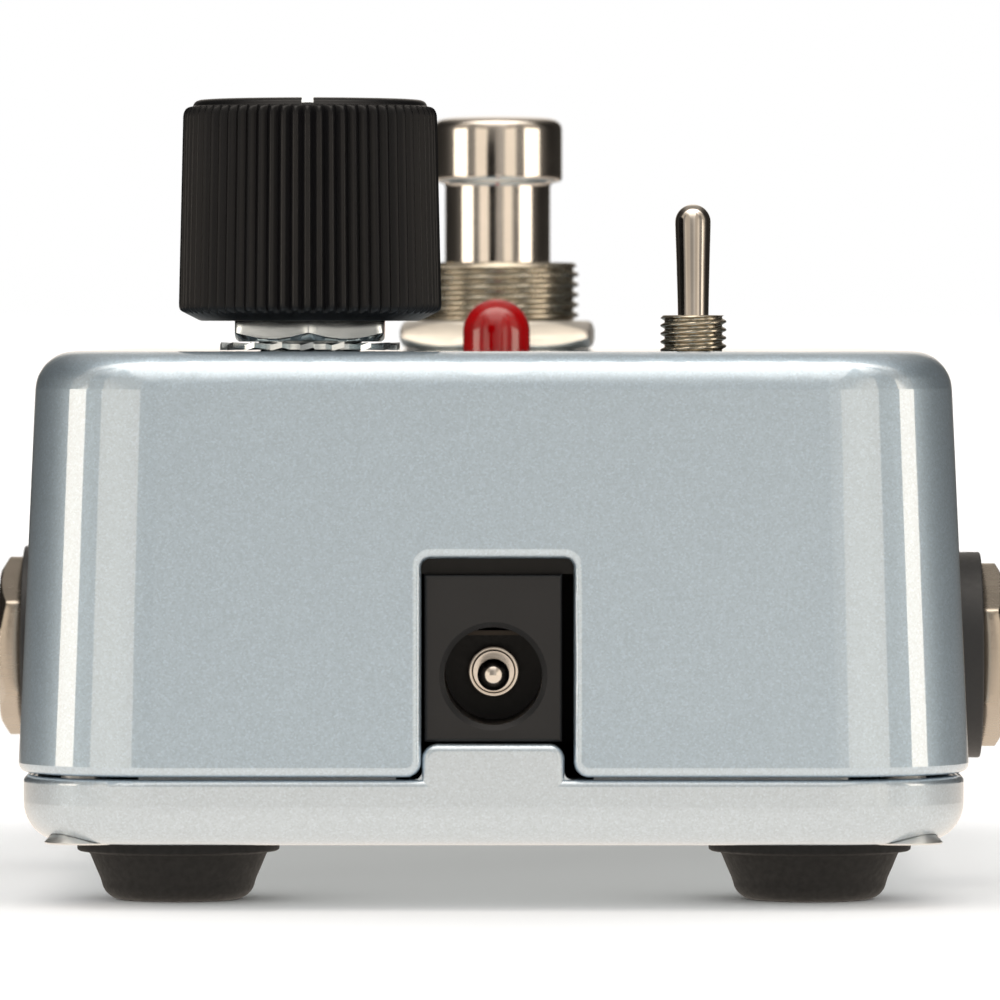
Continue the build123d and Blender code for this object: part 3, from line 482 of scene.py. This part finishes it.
def threaded(crest, root, pitch, z0, z1, bore, chamfer, sides=112, rows_per_turn=12):
    """Tube with a helical outside thread, chamfered at its z1 end."""
    rings = []
    rows = int((z1 - z0) / pitch * rows_per_turn)
    for i in range(rows + 1):
        z = z0 + (z1 - z0) * i / rows
        limit = min(crest - max(0.0, z - (z1 - chamfer)), root + 0.02 if z < z0 + 0.05 else crest)
        ring = []
        for j in range(sides):
            turn = j / sides
            phase = ((z - z0) / pitch - turn) % 1.0
            rise = min(1.0, max(0.0, (0.88 - abs(phase - 0.5) * 2) / 0.76))
            rise = rise * rise * (3 - 2 * rise)
            radius = min(root + (crest - root) * rise, limit)
            ring.append(polar(radius, 2 * math.pi * turn, z))
        rings.append(ring)
    end_and_bore = [
        (crest - chamfer - 0.06, z1 + 0.03), (bore + 0.22, z1 + 0.03), (bore + 0.1, z1 - 0.02),
        (bore, z1 - 0.16), (bore, z0), (root, z0),
    ]
    return skin(rings + [circle(radius, z, sides) for radius, z in end_and_bore])


def coil(radius, wire, z0, z1, turns, steps=48, sides=12):
    """Round-wire spring. Both radii are to centre lines, and steps are per turn."""
    rings = []
    slope = (z1 - z0) / (2 * math.pi * turns)
    length = math.hypot(radius, slope)
    for i in range(turns * steps + 1):
        a = 2 * math.pi * i / steps
        cos_a, sin_a = math.cos(a), math.sin(a)
        z = z0 + slope * a
        up = (sin_a * slope / length, -cos_a * slope / length, radius / length)
        ring = []
        for k in range(sides):
            t = 2 * math.pi * k / sides
            out, rise = wire * math.cos(t), wire * math.sin(t)
            ring.append(((radius + out) * cos_a + rise * up[0],
                         (radius + out) * sin_a + rise * up[1], z + rise * up[2]))
        rings.append(ring)
    return skin(rings, capped=True)


# ------------------------------------------------------------------ knob
RIBS = 66
POINTS_PER_RIB = 8
RIB_DEPTH = 0.34
KNOB_RADIUS = 8.85
KNOB_TOP_RADIUS = KNOB_RADIUS - 0.30
SIDE_STEPS = 8
# radius, height above the underside, share of the rib depth
KNOB_FOOT = [
    (6.6, 3.3, 0), (6.6, 0.15, 0), (6.75, 0.02, 0), (7.3, 0.02, 0), (7.45, 0.06, 0),
    (7.9, 0.28, 0), (8.3, 0.48, 0.05), (8.44, 0.56, 0.15), (8.62, 0.64, 0.75),
    (8.76, 0.76, 1), (KNOB_RADIUS - 0.02, 0.95, 1),
]
# inset from the top radius, depth below the top, share of the rib depth
KNOB_SHOULDER = [
    (0.03, 0.95, 1), (0.09, 0.78, 0.95), (0.19, 0.63, 0.8),
    (0.33, 0.53, 0.45), (0.46, 0.49, 0.1), (0.56, 0.48, 0),
]
# radius, depth below the top
KNOB_CROWN = [
    (7.93, 0.47), (7.88, 0.42), (7.84, 0.32), (7.76, 0.19), (7.62, 0.09),
    (7.42, 0.03), (7.1, 0.005), (5.5, 0), (1.0, 0), (0.001, 0),
]
POINTER_HALF_WIDTH = 0.44
POINTER_SIDES = 10
# y from the knob's axis, height above the knob's top
POINTER_PATH = [
    (-0.9, 0.02), (-4.0, 0.02), (-6.9, 0.015), (-7.2, -0.01),
    (-7.45, -0.06), (-7.66, -0.15), (-7.78, -0.27), (-7.84, -0.4),
]


def knob_ring(radius, z, ribbed):
    count = RIBS * POINTS_PER_RIB
    ring = []
    for j in range(count):
        t = (j % POINTS_PER_RIB) / POINTS_PER_RIB
        rib = (0.5 - 0.5 * math.cos(2 * math.pi * t)) ** 0.75
        ring.append(polar(radius - RIB_DEPTH * (1 - rib) * ribbed, 2 * math.pi * j / count, z))
    return ring


def build_knob():
    z0, z1 = low("knob_body")[2], high("knob_body")[2]
    rings = [knob_ring(radius, z0 + rise, ribbed) for radius, rise, ribbed in KNOB_FOOT]
    side_radius = KNOB_RADIUS - 0.01
    side_z0, side_z1 = z0 + 1.2, z1 - 1.15
    for k in range(SIDE_STEPS + 1):
        t = k / SIDE_STEPS
        radius = side_radius - (side_radius - KNOB_TOP_RADIUS) * t
        rings.append(knob_ring(radius, side_z0 + (side_z1 - side_z0) * t, 1))
    for inset, depth, ribbed in KNOB_SHOULDER:
        rings.append(knob_ring(KNOB_TOP_RADIUS - inset, z1 - depth, ribbed))
    rings += [knob_ring(radius, z1 - depth, 0) for radius, depth in KNOB_CROWN]
    make("vis_knob", moved(skin(rings), KNOB), "knob_plastic", "knob_body", "knob", 40)


def build_pointer():
    """Raised line on the knob's top that turns down over the front rim."""
    z1 = high("knob_body")[2]
    rings = []
    for y, rise in POINTER_PATH:
        lean = 0.05 if rise < -0.1 else 0
        ring = []
        for k in range(POINTER_SIDES):
            a = 2 * math.pi * k / POINTER_SIDES
            ring.append((POINTER_HALF_WIDTH * math.cos(a), y - lean * math.sin(a),
                         z1 + rise + 0.06 * math.sin(a)))
        rings.append(ring)
    pointer = moved(skin(rings, capped=True), KNOB)
    make("vis_knob_pointer", pointer, "pointer_ink", "knob_pointer", "knob", 40)


def build_pot_nut():
    nut = hex_nut(across_flats=10.0, z0=low("pot_nut")[2], z1=high("pot_nut")[2] - 0.02,
                  hole=3.52, turn=30.0)
    make("vis_pot_nut", moved(nut, KNOB), "zinc_bright", "pot_nut")


TEETH = 18
POINTS_PER_TOOTH = 12
TOOTH_START, TOOTH_END = 0.18, 0.68  # shares of one tooth's pitch
TOOTH_TWIST = 0.55
WASHER_HOLE, WASHER_RIM, TOOTH_TIP = 3.62, 4.95, 6.08  # radii
WASHER_Z0, WASHER_Z1 = 36.6, 36.98
TOOTH_Z0, TOOTH_Z1 = 36.54, 37.08  # limits of the twisted teeth


def build_tooth_washer():
    """Outside-tooth lock washer: every tooth is twisted out of the plane."""
    count = TEETH * POINTS_PER_TOOTH
    edge_low, edge_high = [], []
    for j in range(count):
        a = 2 * math.pi * j / count
        t = (j % POINTS_PER_TOOTH) / POINTS_PER_TOOTH
        radius, twist = WASHER_RIM, 0.0
        if TOOTH_START <= t <= TOOTH_END:
            radius = TOOTH_TIP
            twist = (t - (TOOTH_START + TOOTH_END) / 2) * TOOTH_TWIST
        edge_low.append(polar(radius, a, max(TOOTH_Z0, WASHER_Z0 + twist)))
        edge_high.append(polar(radius, a, min(TOOTH_Z1, WASHER_Z1 + twist)))
    flat = WASHER_RIM - 0.35
    washer = skin([
        circle(WASHER_HOLE, WASHER_Z0, count), circle(flat, WASHER_Z0, count),
        edge_low, edge_high,
        circle(flat, WASHER_Z1, count), circle(WASHER_HOLE, WASHER_Z1, count),
        circle(WASHER_HOLE, WASHER_Z0, count),
    ])
    make("vis_pot_washer", moved(washer, KNOB), "zinc_bright", "pot_lock_washer")


# ------------------------------------------------------------------ toggle switch
LEVER_LEAN = -12.5  # degrees about X, which tips the lever's end back toward +Y


def build_toggle():
    bushing = threaded(crest=2.22, root=1.94, pitch=0.55, z0=36.0,
                       z1=high("toggle_bushing")[2] - 0.05, bore=1.58, chamfer=0.16, sides=72)
    # The thread takes the darker nickel copy: painted shade between its turns.
    make("vis_toggle_bushing", moved(bushing, TOGGLE), "nickel_thread", "toggle_bushing")
    # Tail, ball about the pivot, slightly flared shaft, round tip.
    profile = (
        soften([(POLE, 32.6), (0.66, 32.6), (0.7, 35.6)], 0.05)
        + arc(0, TOGGLE[2], 1.5, -62, 46, 14)
        + [(1.01, 38.35), (1.03, 38.6), (1.06, 40.2), (1.12, 42.6), (1.19, 44.9), (1.2, 45.3)]
        + arc(0, 45.38, 1.2, 4, 90, 12)
    )
    lean = Matrix.Rotation(math.radians(LEVER_LEAN), 4, "X")
    place = shift(TOGGLE) @ lean @ shift((0, 0, -TOGGLE[2]))
    make("vis_toggle_lever", lathe(profile, 64), "nickel", "toggle_lever", "toggle", 40, place)


# ------------------------------------------------------------------ lamp
LAMP_RADIUS = 2.41


def build_lamp():
    """Domed lens with a flange at its foot."""
    top = high("led_lens")[2]
    profile = [
        (POLE, 31.62), (2.86, 31.62), (2.94, 31.72), (2.94, 32.52), (2.86, 32.6),
        (2.46, 32.62), (2.43, 32.8), (2.42, 36.0), (LAMP_RADIUS, top - 2.42),
    ] + arc(0, top - 2.43, LAMP_RADIUS, 4, 90, 22)
    lamp = moved(lathe(profile, 80), centre("led_leads"))
    make("vis_led", lamp, "led_red", "led_lens", sharp=40)


# ------------------------------------------------------------------ footswitch
BUSHING_ROOT = 5.6
BUSHING_BORE = 3.96
# Plain lower part of the bushing, a closed outline: radius, z
BUSHING_FOOT = [
    (5.98, 34.6), (BUSHING_ROOT, 34.6), (BUSHING_ROOT, 30.95), (2.1, 30.95), (2.1, 33.2),
    (BUSHING_BORE, 33.2), (BUSHING_BORE, 36.45), (BUSHING_ROOT, 36.45), (5.98, 36.3),
    (5.98, 34.6),
]
# Stem, neck and rounded cap up to just below the top: radius, z
BUTTON_PROFILE = [
    (POLE, 27.2), (1.9, 27.2), (1.9, 39.3), (3.9, 39.3), (3.9, 48.55), (3.96, 48.72),
    (4.3, 48.84), (4.62, 48.9), (4.72, 48.98), (4.77, 49.12), (4.78, 49.3), (4.78, 52.72),
    (4.75, 52.94), (4.66, 53.14), (4.52, 53.3), (4.3, 53.44), (4.0, 53.54), (3.4, 53.61),
    (2.4, 53.66),
]
SPRING_INSET = 0.28  # from the ends of the CAD spring to the wire's centre line


def build_footswitch():
    thread = threaded(crest=6.0, root=BUSHING_ROOT, pitch=0.75, z0=36.4,
                      z1=high("footswitch_bushing")[2] - 0.04, bore=BUSHING_BORE,
                      chamfer=0.32, sides=128)
    bushing = joined(thread, lathe(BUSHING_FOOT, 96))
    # The thread takes the darker nickel copy: painted shade between its turns.
    make("vis_fs_bushing", moved(bushing, FOOTSWITCH), "nickel_thread", "footswitch_bushing")
    nut = hex_nut(across_flats=14.0, z0=low("footswitch_nut")[2],
                  z1=high("footswitch_nut")[2] - 0.02, hole=6.03, turn=26.4)
    # The footswitch nut takes the lighter nickel copy: painted light for its bright reflections.
    make("vis_fs_nut", moved(nut, FOOTSWITCH), "nickel_nut", "footswitch_nut")
    top = high("footswitch_button")[2]
    button = lathe(BUTTON_PROFILE + [(1.2, top - 0.01), (POLE, top - 0.005)], 128)
    make("vis_fs_button", moved(button, FOOTSWITCH), "nickel", "footswitch_button",
         "footswitch_plunger", 50)


def build_footswitch_spring():
    z0, z1 = low("footswitch_spring")[2], high("footswitch_spring")[2]
    shape = coil(radius=2.95, wire=0.26, z0=z0 + SPRING_INSET, z1=z1 - SPRING_INSET, turns=5)
    spring = make("vis_fs_spring", moved(shape, FOOTSWITCH), "spring_steel",
                  "footswitch_spring", "footswitch_plunger", 60)
    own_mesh(spring)


# ------------------------------------------------------------------ jacks
JACK_BORE = 3.2
THREAD_INSIDE = 2.0  # how far the thread starts inside the washer's inner face


def build_jack(name, side):
    """Nut, bushing and washer of the jack on the +X side (side 1) or the -X side (side -1)."""

    def reach(node):
        """Distances from x = 0 to the near and far ends of a piece."""
        near, far = low(node)[0], high(node)[0]
        return (near, far) if side > 0 else (-far, -near)

    nut0, nut1 = reach(name + "_jack_nut")
    bushing0, bushing1 = reach(name + "_jack_bushing")
    washer0, washer1 = reach(name + "_jack_washer")
    _, y, z = centre(name + "_jack_nut")
    # Local z points outward through the side of the box.
    place = (shift((0, y, z))
             @ Matrix.Rotation(0.0 if side > 0 else math.pi, 4, "Z")
             @ Matrix.Rotation(math.radians(90), 4, "Y"))

    shape = hex_nut(across_flats=11.0, z0=nut0, z1=nut1, hole=4.52, turn=0.0,
                    chamfer_below=False)
    nut = make("vis_" + name + "_nut", shape, "nickel_nut", name + "_jack_nut", place=place)
    # The jack nuts take the darker nickel copy: painted shade for the dark reflections on their facets.
    nut.data.materials[0] = MATERIALS["nickel_dull"]

    thread_start = washer0 - THREAD_INSIDE
    thread = threaded(crest=4.5, root=4.16, pitch=0.75, z0=thread_start, z1=bushing1 - 0.06,
                      bore=JACK_BORE, chamfer=0.3)
    sleeve = lathe([(JACK_BORE, bushing0), (4.48, bushing0), (4.48, thread_start),
                    (JACK_BORE, thread_start), (JACK_BORE, bushing0)], 96)
    make("vis_" + name + "_bushing", joined(thread, sleeve), "nickel", name + "_jack_bushing",
         place=place)

    profile = soften([
        (4.62, washer0), (6.98, washer0), (7.05, washer0 + 0.08), (7.05, washer1 - 0.08),
        (6.98, washer1), (4.62, washer1), (4.62, washer0),
    ], 0.1)
    make("vis_" + name + "_washer", lathe(profile, 128), "washer_black", name + "_jack_washer",
         place=place)


# ------------------------------------------------------------------ power socket pin
PIN_HEIGHT = 4.3  # above the bottom of the socket body
# Domed pin, then a collar round its foot: radius, distance in from the body's -Y end
PIN_PROFILE = [
    (POLE, 1.9), (0.22, 1.91), (0.42, 1.96), (0.6, 2.05), (0.76, 2.17), (0.88, 2.32),
    (0.96, 2.5), (1.01, 2.7), (1.05, 2.95), (1.05, 9.5), (1.34, 9.5), (1.36, 8.6),
    (1.42, 8.5), (1.62, 8.46), (1.7, 8.5), (1.72, 8.6), (1.72, 9.55), (POLE, 9.55),
]
PIN_TAIL = [(POLE, 9.5), (0.78, 9.5), (0.78, 13.9), (POLE, 13.9)]


def build_power_pin():
    start, end = low("dc_jack_body"), high("dc_jack_body")
    place = (shift(((start[0] + end[0]) / 2, start[1], start[2] + PIN_HEIGHT))
             @ Matrix.Rotation(math.radians(-90), 4, "X"))
    pin = joined(lathe(PIN_PROFILE, 72), lathe(PIN_TAIL, 32))
    make("vis_dc_pin", pin, "nickel", "dc_jack_pin", sharp=40, place=place)


# ------------------------------------------------------------------ feet
FLANGE_RADIUS = 6.75
FOOT_ROUNDING = 1.3
# Rounded pad, flaring up to a flat flange: radius, z
FOOT_PROFILE = (
    [(POLE, 0.0), (2.6, 0.0), (3.7, 0.02)]
    + arc(5.12 - FOOT_ROUNDING, FOOT_ROUNDING, FOOT_ROUNDING, -82, -10, 9)
    + [(5.2, 1.4), (5.55, 2.2), (5.86, 2.95), (5.96, 3.12), (6.2, 3.2), (6.6, 3.22),
       (6.72, 3.3), (FLANGE_RADIUS, 3.42), (FLANGE_RADIUS, 4.02), (6.7, 4.12), (6.6, 4.17),
       (POLE, 4.17)]
)


def build_feet():
    corner = high("rubber_feet")
    x, y = corner[0] - FLANGE_RADIUS, corner[1] - FLANGE_RADIUS
    foot = lathe(FOOT_PROFILE, 80)
    feet = [moved(foot, (sx * x, sy * y)) for sx in (-1, 1) for sy in (-1, 1)]
    make("vis_feet", joined(*feet), "feet_rubber", "rubber_feet", sharp=40)


# ------------------------------------------------------------------ floor
FLOOR_HALF = 40.0  # metres
FLOOR_DROP = 0.00002  # metres below z = 0
FLOOR_GLOW = (1.04, 0.92, 0.80, 1)


def floor_material():
    """Matt white, but seen in reflections as a pool of light around the object."""
    material = bpy.data.materials.new("floor")
    nodes = Nodes(material)
    matt = nodes.tree.nodes["Principled BSDF"]
    nodes.feed(matt, {"Base Color": (0.88, 0.88, 0.88, 1), "Roughness": 0.9,
                      "Specular IOR Level": 0.1})
    place = nodes.split(nodes.add("ShaderNodeNewGeometry").outputs["Position"])
    # The pool runs forward under the camera, and fades to the sides and behind.
    front = nodes.math("MULTIPLY", nodes.math("MINIMUM", place[1], 0.0), 0.15)
    y = nodes.math("ADD", front, nodes.math("MAXIMUM", place[1], 0.0))
    pool = nodes.add("ShaderNodeCombineXYZ", {0: place[0], 1: y}).outputs[0]
    distance = nodes.add("ShaderNodeVectorMath", {0: pool}, operation="LENGTH").outputs["Value"]
    glow = nodes.add("ShaderNodeEmission", {"Color": FLOOR_GLOW, "Strength": 1.25})
    # The fade drives the strength. Source in metres, target in brightness.
    fade = nodes.map_range(distance, source=(0.10, 0.36), target=(1.12, 0.06))
    nodes.feed(glow, {"Strength": fade})
    glossy = nodes.add("ShaderNodeLightPath").outputs["Is Glossy Ray"]
    shader = nodes.mix(glossy, matt.outputs[0], glow.outputs[0])
    nodes.feed(nodes.tree.nodes["Material Output"], {0: shader})
    return material


def build_floor():
    mesh = bpy.data.meshes.new("floor")
    s = FLOOR_HALF
    mesh.from_pydata([(-s, -s, 0), (s, -s, 0), (s, s, 0), (-s, s, 0)], [], [(0, 1, 2, 3)])
    floor = bpy.data.objects.new("floor", mesh)
    floor.location = (0, 0, -FLOOR_DROP)
    bpy.context.scene.collection.objects.link(floor)
    mesh.materials.append(floor_material())


# ------------------------------------------------------------------ world
WHITE = (1, 1, 1, 1)
WARM = (1.01, 0.93, 0.84, 1)
REFLECTED_LIGHT = 1.15
EVEN_LIGHT = 1.32
BACKDROP = 1.0
# Each table: degrees, brightness.
# Walls, by azimuth from the camera's side (-Y), positive toward +X
WALLS = [
    (-180, 1.0), (-173, 0.8), (-167, 0.2), (-158, 0.05), (-140, 0.02), (-118, 0.03),
    (-104, 0.05), (-96, 0.10), (-88, 0.20), (-56, 0.30), (-46, 0.28), (-40, 0.40),
    (-26, 0.48), (-18, 0.36), (-10, 0.30), (-5, 0.32), (0, 0.40), (6, 0.50), (14, 0.62),
    (30, 0.5), (38, 0.28), (48, 0.30), (80, 0.22), (88, 0.12), (98, 0.04), (110, 0.02),
    (140, 0.03), (158, 0.05), (167, 0.2), (173, 0.8), (180, 1.0),
]
# Share of the ceiling against the walls, by elevation
CEILING_SHARE = [(-90, 0.0), (22, 0.0), (34, 0.45), (48, 0.95), (56, 1.0), (90, 1.0)]
# Ceiling from the front horizon (0) over the top (90) to the back horizon (180)
CEILING_OVER = [
    (-180, 0.8), (0, 0.8), (30, 1.0), (42, 1.25), (52, 1.5), (64, 1.75), (74, 2.5), (82, 3.0),
    (92, 3.0), (96, 1.0), (100, 0.3), (120, 0.30), (140, 0.45), (165, 0.9), (180, 1.0),
]
# Ceiling from either side's horizon (0) to the top (90)
CEILING_SIDE = [(-90, 0.04), (20, 0.04), (40, 0.12), (55, 0.45), (68, 1.0), (90, 1.0)]


def curve(nodes, angle, stops):
    """Brightness read by straight lines between (degrees, brightness) stops."""
    lo, hi = stops[0][0], stops[-1][0]
    top = max(brightness for _, brightness in stops)
    share = nodes.math("DIVIDE", nodes.math("SUBTRACT", angle, lo), hi - lo, clamp=True)
    node = nodes.add("ShaderNodeFloatCurve", {"Value": share})
    points = node.mapping.curves[0].points
    while len(points) < len(stops):
        points.new(0.5, 0.5)
    for point, (degrees, brightness) in zip(points, stops):
        point.location = ((degrees - lo) / (hi - lo), brightness / top)
        point.handle_type = "VECTOR"
    node.mapping.update()
    return nodes.math("MULTIPLY", node.outputs["Value"], top)


def build_world():
    """White to the camera, even light for diffuse rays, a light tent for reflections."""
    world = bpy.data.worlds.new("studio")
    bpy.context.scene.world = world
    nodes = Nodes(world, clear=True)

    def degrees(radians):
        return nodes.math("MULTIPLY", radians, 57.29578)

    def background(colour, strength):
        inputs = {"Color": colour, "Strength": strength}
        return nodes.add("ShaderNodeBackground", inputs).outputs[0]

    x, y, z = nodes.split(nodes.add("ShaderNodeTexCoord").outputs["Generated"])
    azimuth = degrees(nodes.math("ARCTAN2", x, nodes.math("MULTIPLY", y, -1.0)))
    elevation = degrees(nodes.math("ARCSINE", z))
    over = degrees(nodes.math("ARCTAN2", z, nodes.math("MULTIPLY", y, -1.0)))
    side = degrees(nodes.math("ARCTAN2", z, nodes.math("ABSOLUTE", x)))

    walls = curve(nodes, azimuth, WALLS)
    share = curve(nodes, elevation, CEILING_SHARE)
    ceiling = nodes.math("MULTIPLY", curve(nodes, over, CEILING_OVER),
                         curve(nodes, side, CEILING_SIDE))
    tent = nodes.math("ADD",
                      nodes.math("MULTIPLY", walls, nodes.math("SUBTRACT", 1.0, share)),
                      nodes.math("MULTIPLY", share, ceiling))
    reflected = background(WARM, nodes.math("MULTIPLY", tent, REFLECTED_LIGHT))
    rays = nodes.add("ShaderNodeLightPath").outputs
    lit = nodes.mix(rays["Is Diffuse Ray"], reflected, background(WHITE, EVEN_LIGHT))
    shown = nodes.mix(rays["Is Camera Ray"], lit, background(WHITE, BACKDROP))
    nodes.add("ShaderNodeOutputWorld", {0: shown})
    world.cycles.sampling_method = "MANUAL"
    world.cycles.sample_map_resolution = 2048


# ------------------------------------------------------------------ light panels
CREAM = (1.04, 0.92, 0.78, 1)
PANEL_BOTTOM = 2.0
PANEL_COLUMNS, PANEL_ROWS = 24, 12
PANEL_FADE = (0.070, 0.115)  # heights in metres between which the panel dims
PANEL_UPPER = 0.55  # brightness above the fade
SOFTBOX, CARD = 3.0, 1.18  # brightness below the fade
# name, start (x, y), end (x, y), top z, brightness
PANELS = [
    ("softbox_left", (-218.0, -120.0), (-630.0, -44.0), 420.0, SOFTBOX),
    ("softbox_right", (150.0, -101.0), (631.0, -90.0), 420.0, SOFTBOX),
    ("card_left", (-131.0, -130.0), (-145.0, -435.0), 260.0, CARD),
    ("card_right", (91.0, -115.0), (110.0, -443.0), 260.0, CARD),
]


def panel_material(name, brightness):
    """Glow that is brightest near the floor."""
    material = bpy.data.materials.new(name)
    nodes = Nodes(material, clear=True)
    height = nodes.split(nodes.add("ShaderNodeNewGeometry").outputs["Position"])[2]
    strength = nodes.map_range(height, source=PANEL_FADE, target=(brightness, PANEL_UPPER))
    glow = nodes.add("ShaderNodeEmission", {"Color": CREAM, "Strength": strength})
    nodes.add("ShaderNodeOutputMaterial", {0: glow.outputs[0]})
    return material


def build_panel(name, start, end, top, brightness):
    """Upright lit panel beside the object, seen only in reflections."""
    vertices, faces = [], []
    for row in range(PANEL_ROWS + 1):
        for column in range(PANEL_COLUMNS + 1):
            u, v = column / PANEL_COLUMNS, row / PANEL_ROWS
            vertices.append(((start[0] + (end[0] - start[0]) * u) * MM,
                             (start[1] + (end[1] - start[1]) * u) * MM,
                             (PANEL_BOTTOM + (top - PANEL_BOTTOM) * v) * MM))
    stride = PANEL_COLUMNS + 1
    for row in range(PANEL_ROWS):
        for column in range(PANEL_COLUMNS):
            a = row * stride + column
            faces.append((a, a + 1, a + stride + 1, a + stride))
    mesh = bpy.data.meshes.new(name)
    mesh.from_pydata(vertices, [], faces)
    panel = bpy.data.objects.new(name, mesh)
    bpy.context.scene.collection.objects.link(panel)
    mesh.materials.append(panel_material(name, brightness))
    panel.visible_camera = False
    panel.visible_diffuse = False
    panel.visible_shadow = False


# ------------------------------------------------------------------ camera
CAMERA_PLACE = (2.4, -677.15, 37.9)
VIEW_DIRECTION = (-0.00314828, 1.0, -0.01784028)  # slightly left and down
FOCUS_PLACE = (0.0, -0.040, 0.030)  # metres


def build_camera():
    scene = bpy.context.scene
    lens = bpy.data.cameras.new("camera")
    camera = bpy.data.objects.new("camera", lens)
    scene.collection.objects.link(camera)
    scene.camera = camera
    lens.sensor_width = 36.0
    lens.lens = 343.0
    lens.clip_start = 0.01
    lens.clip_end = 200.0
    focus = bpy.data.objects.new("focus", None)
    focus.location = FOCUS_PLACE
    scene.collection.objects.link(focus)
    lens.dof.use_dof = True
    lens.dof.focus_object = focus
    lens.dof.aperture_fstop = 105.0
    camera.location = Vector(CAMERA_PLACE) * MM
    camera.rotation_euler = Vector(VIEW_DIRECTION).to_track_quat("-Z", "Y").to_euler()


def set_colour_view():
    view = bpy.context.scene.view_settings
    view.view_transform = "Standard"
    view.look = "None"
    view.exposure = 0.0
    view.gamma = 1.0


# ------------------------------------------------------------------ build
dress_cad_pieces()
build_knob()
build_pointer()
build_pot_nut()
build_tooth_washer()
build_toggle()
build_lamp()
build_footswitch()
build_footswitch_spring()
build_jack("input", 1)
build_jack("output", -1)
build_power_pin()
build_feet()
build_floor()
build_world()
for panel_row in PANELS:
    build_panel(*panel_row)
build_camera()
set_colour_view()
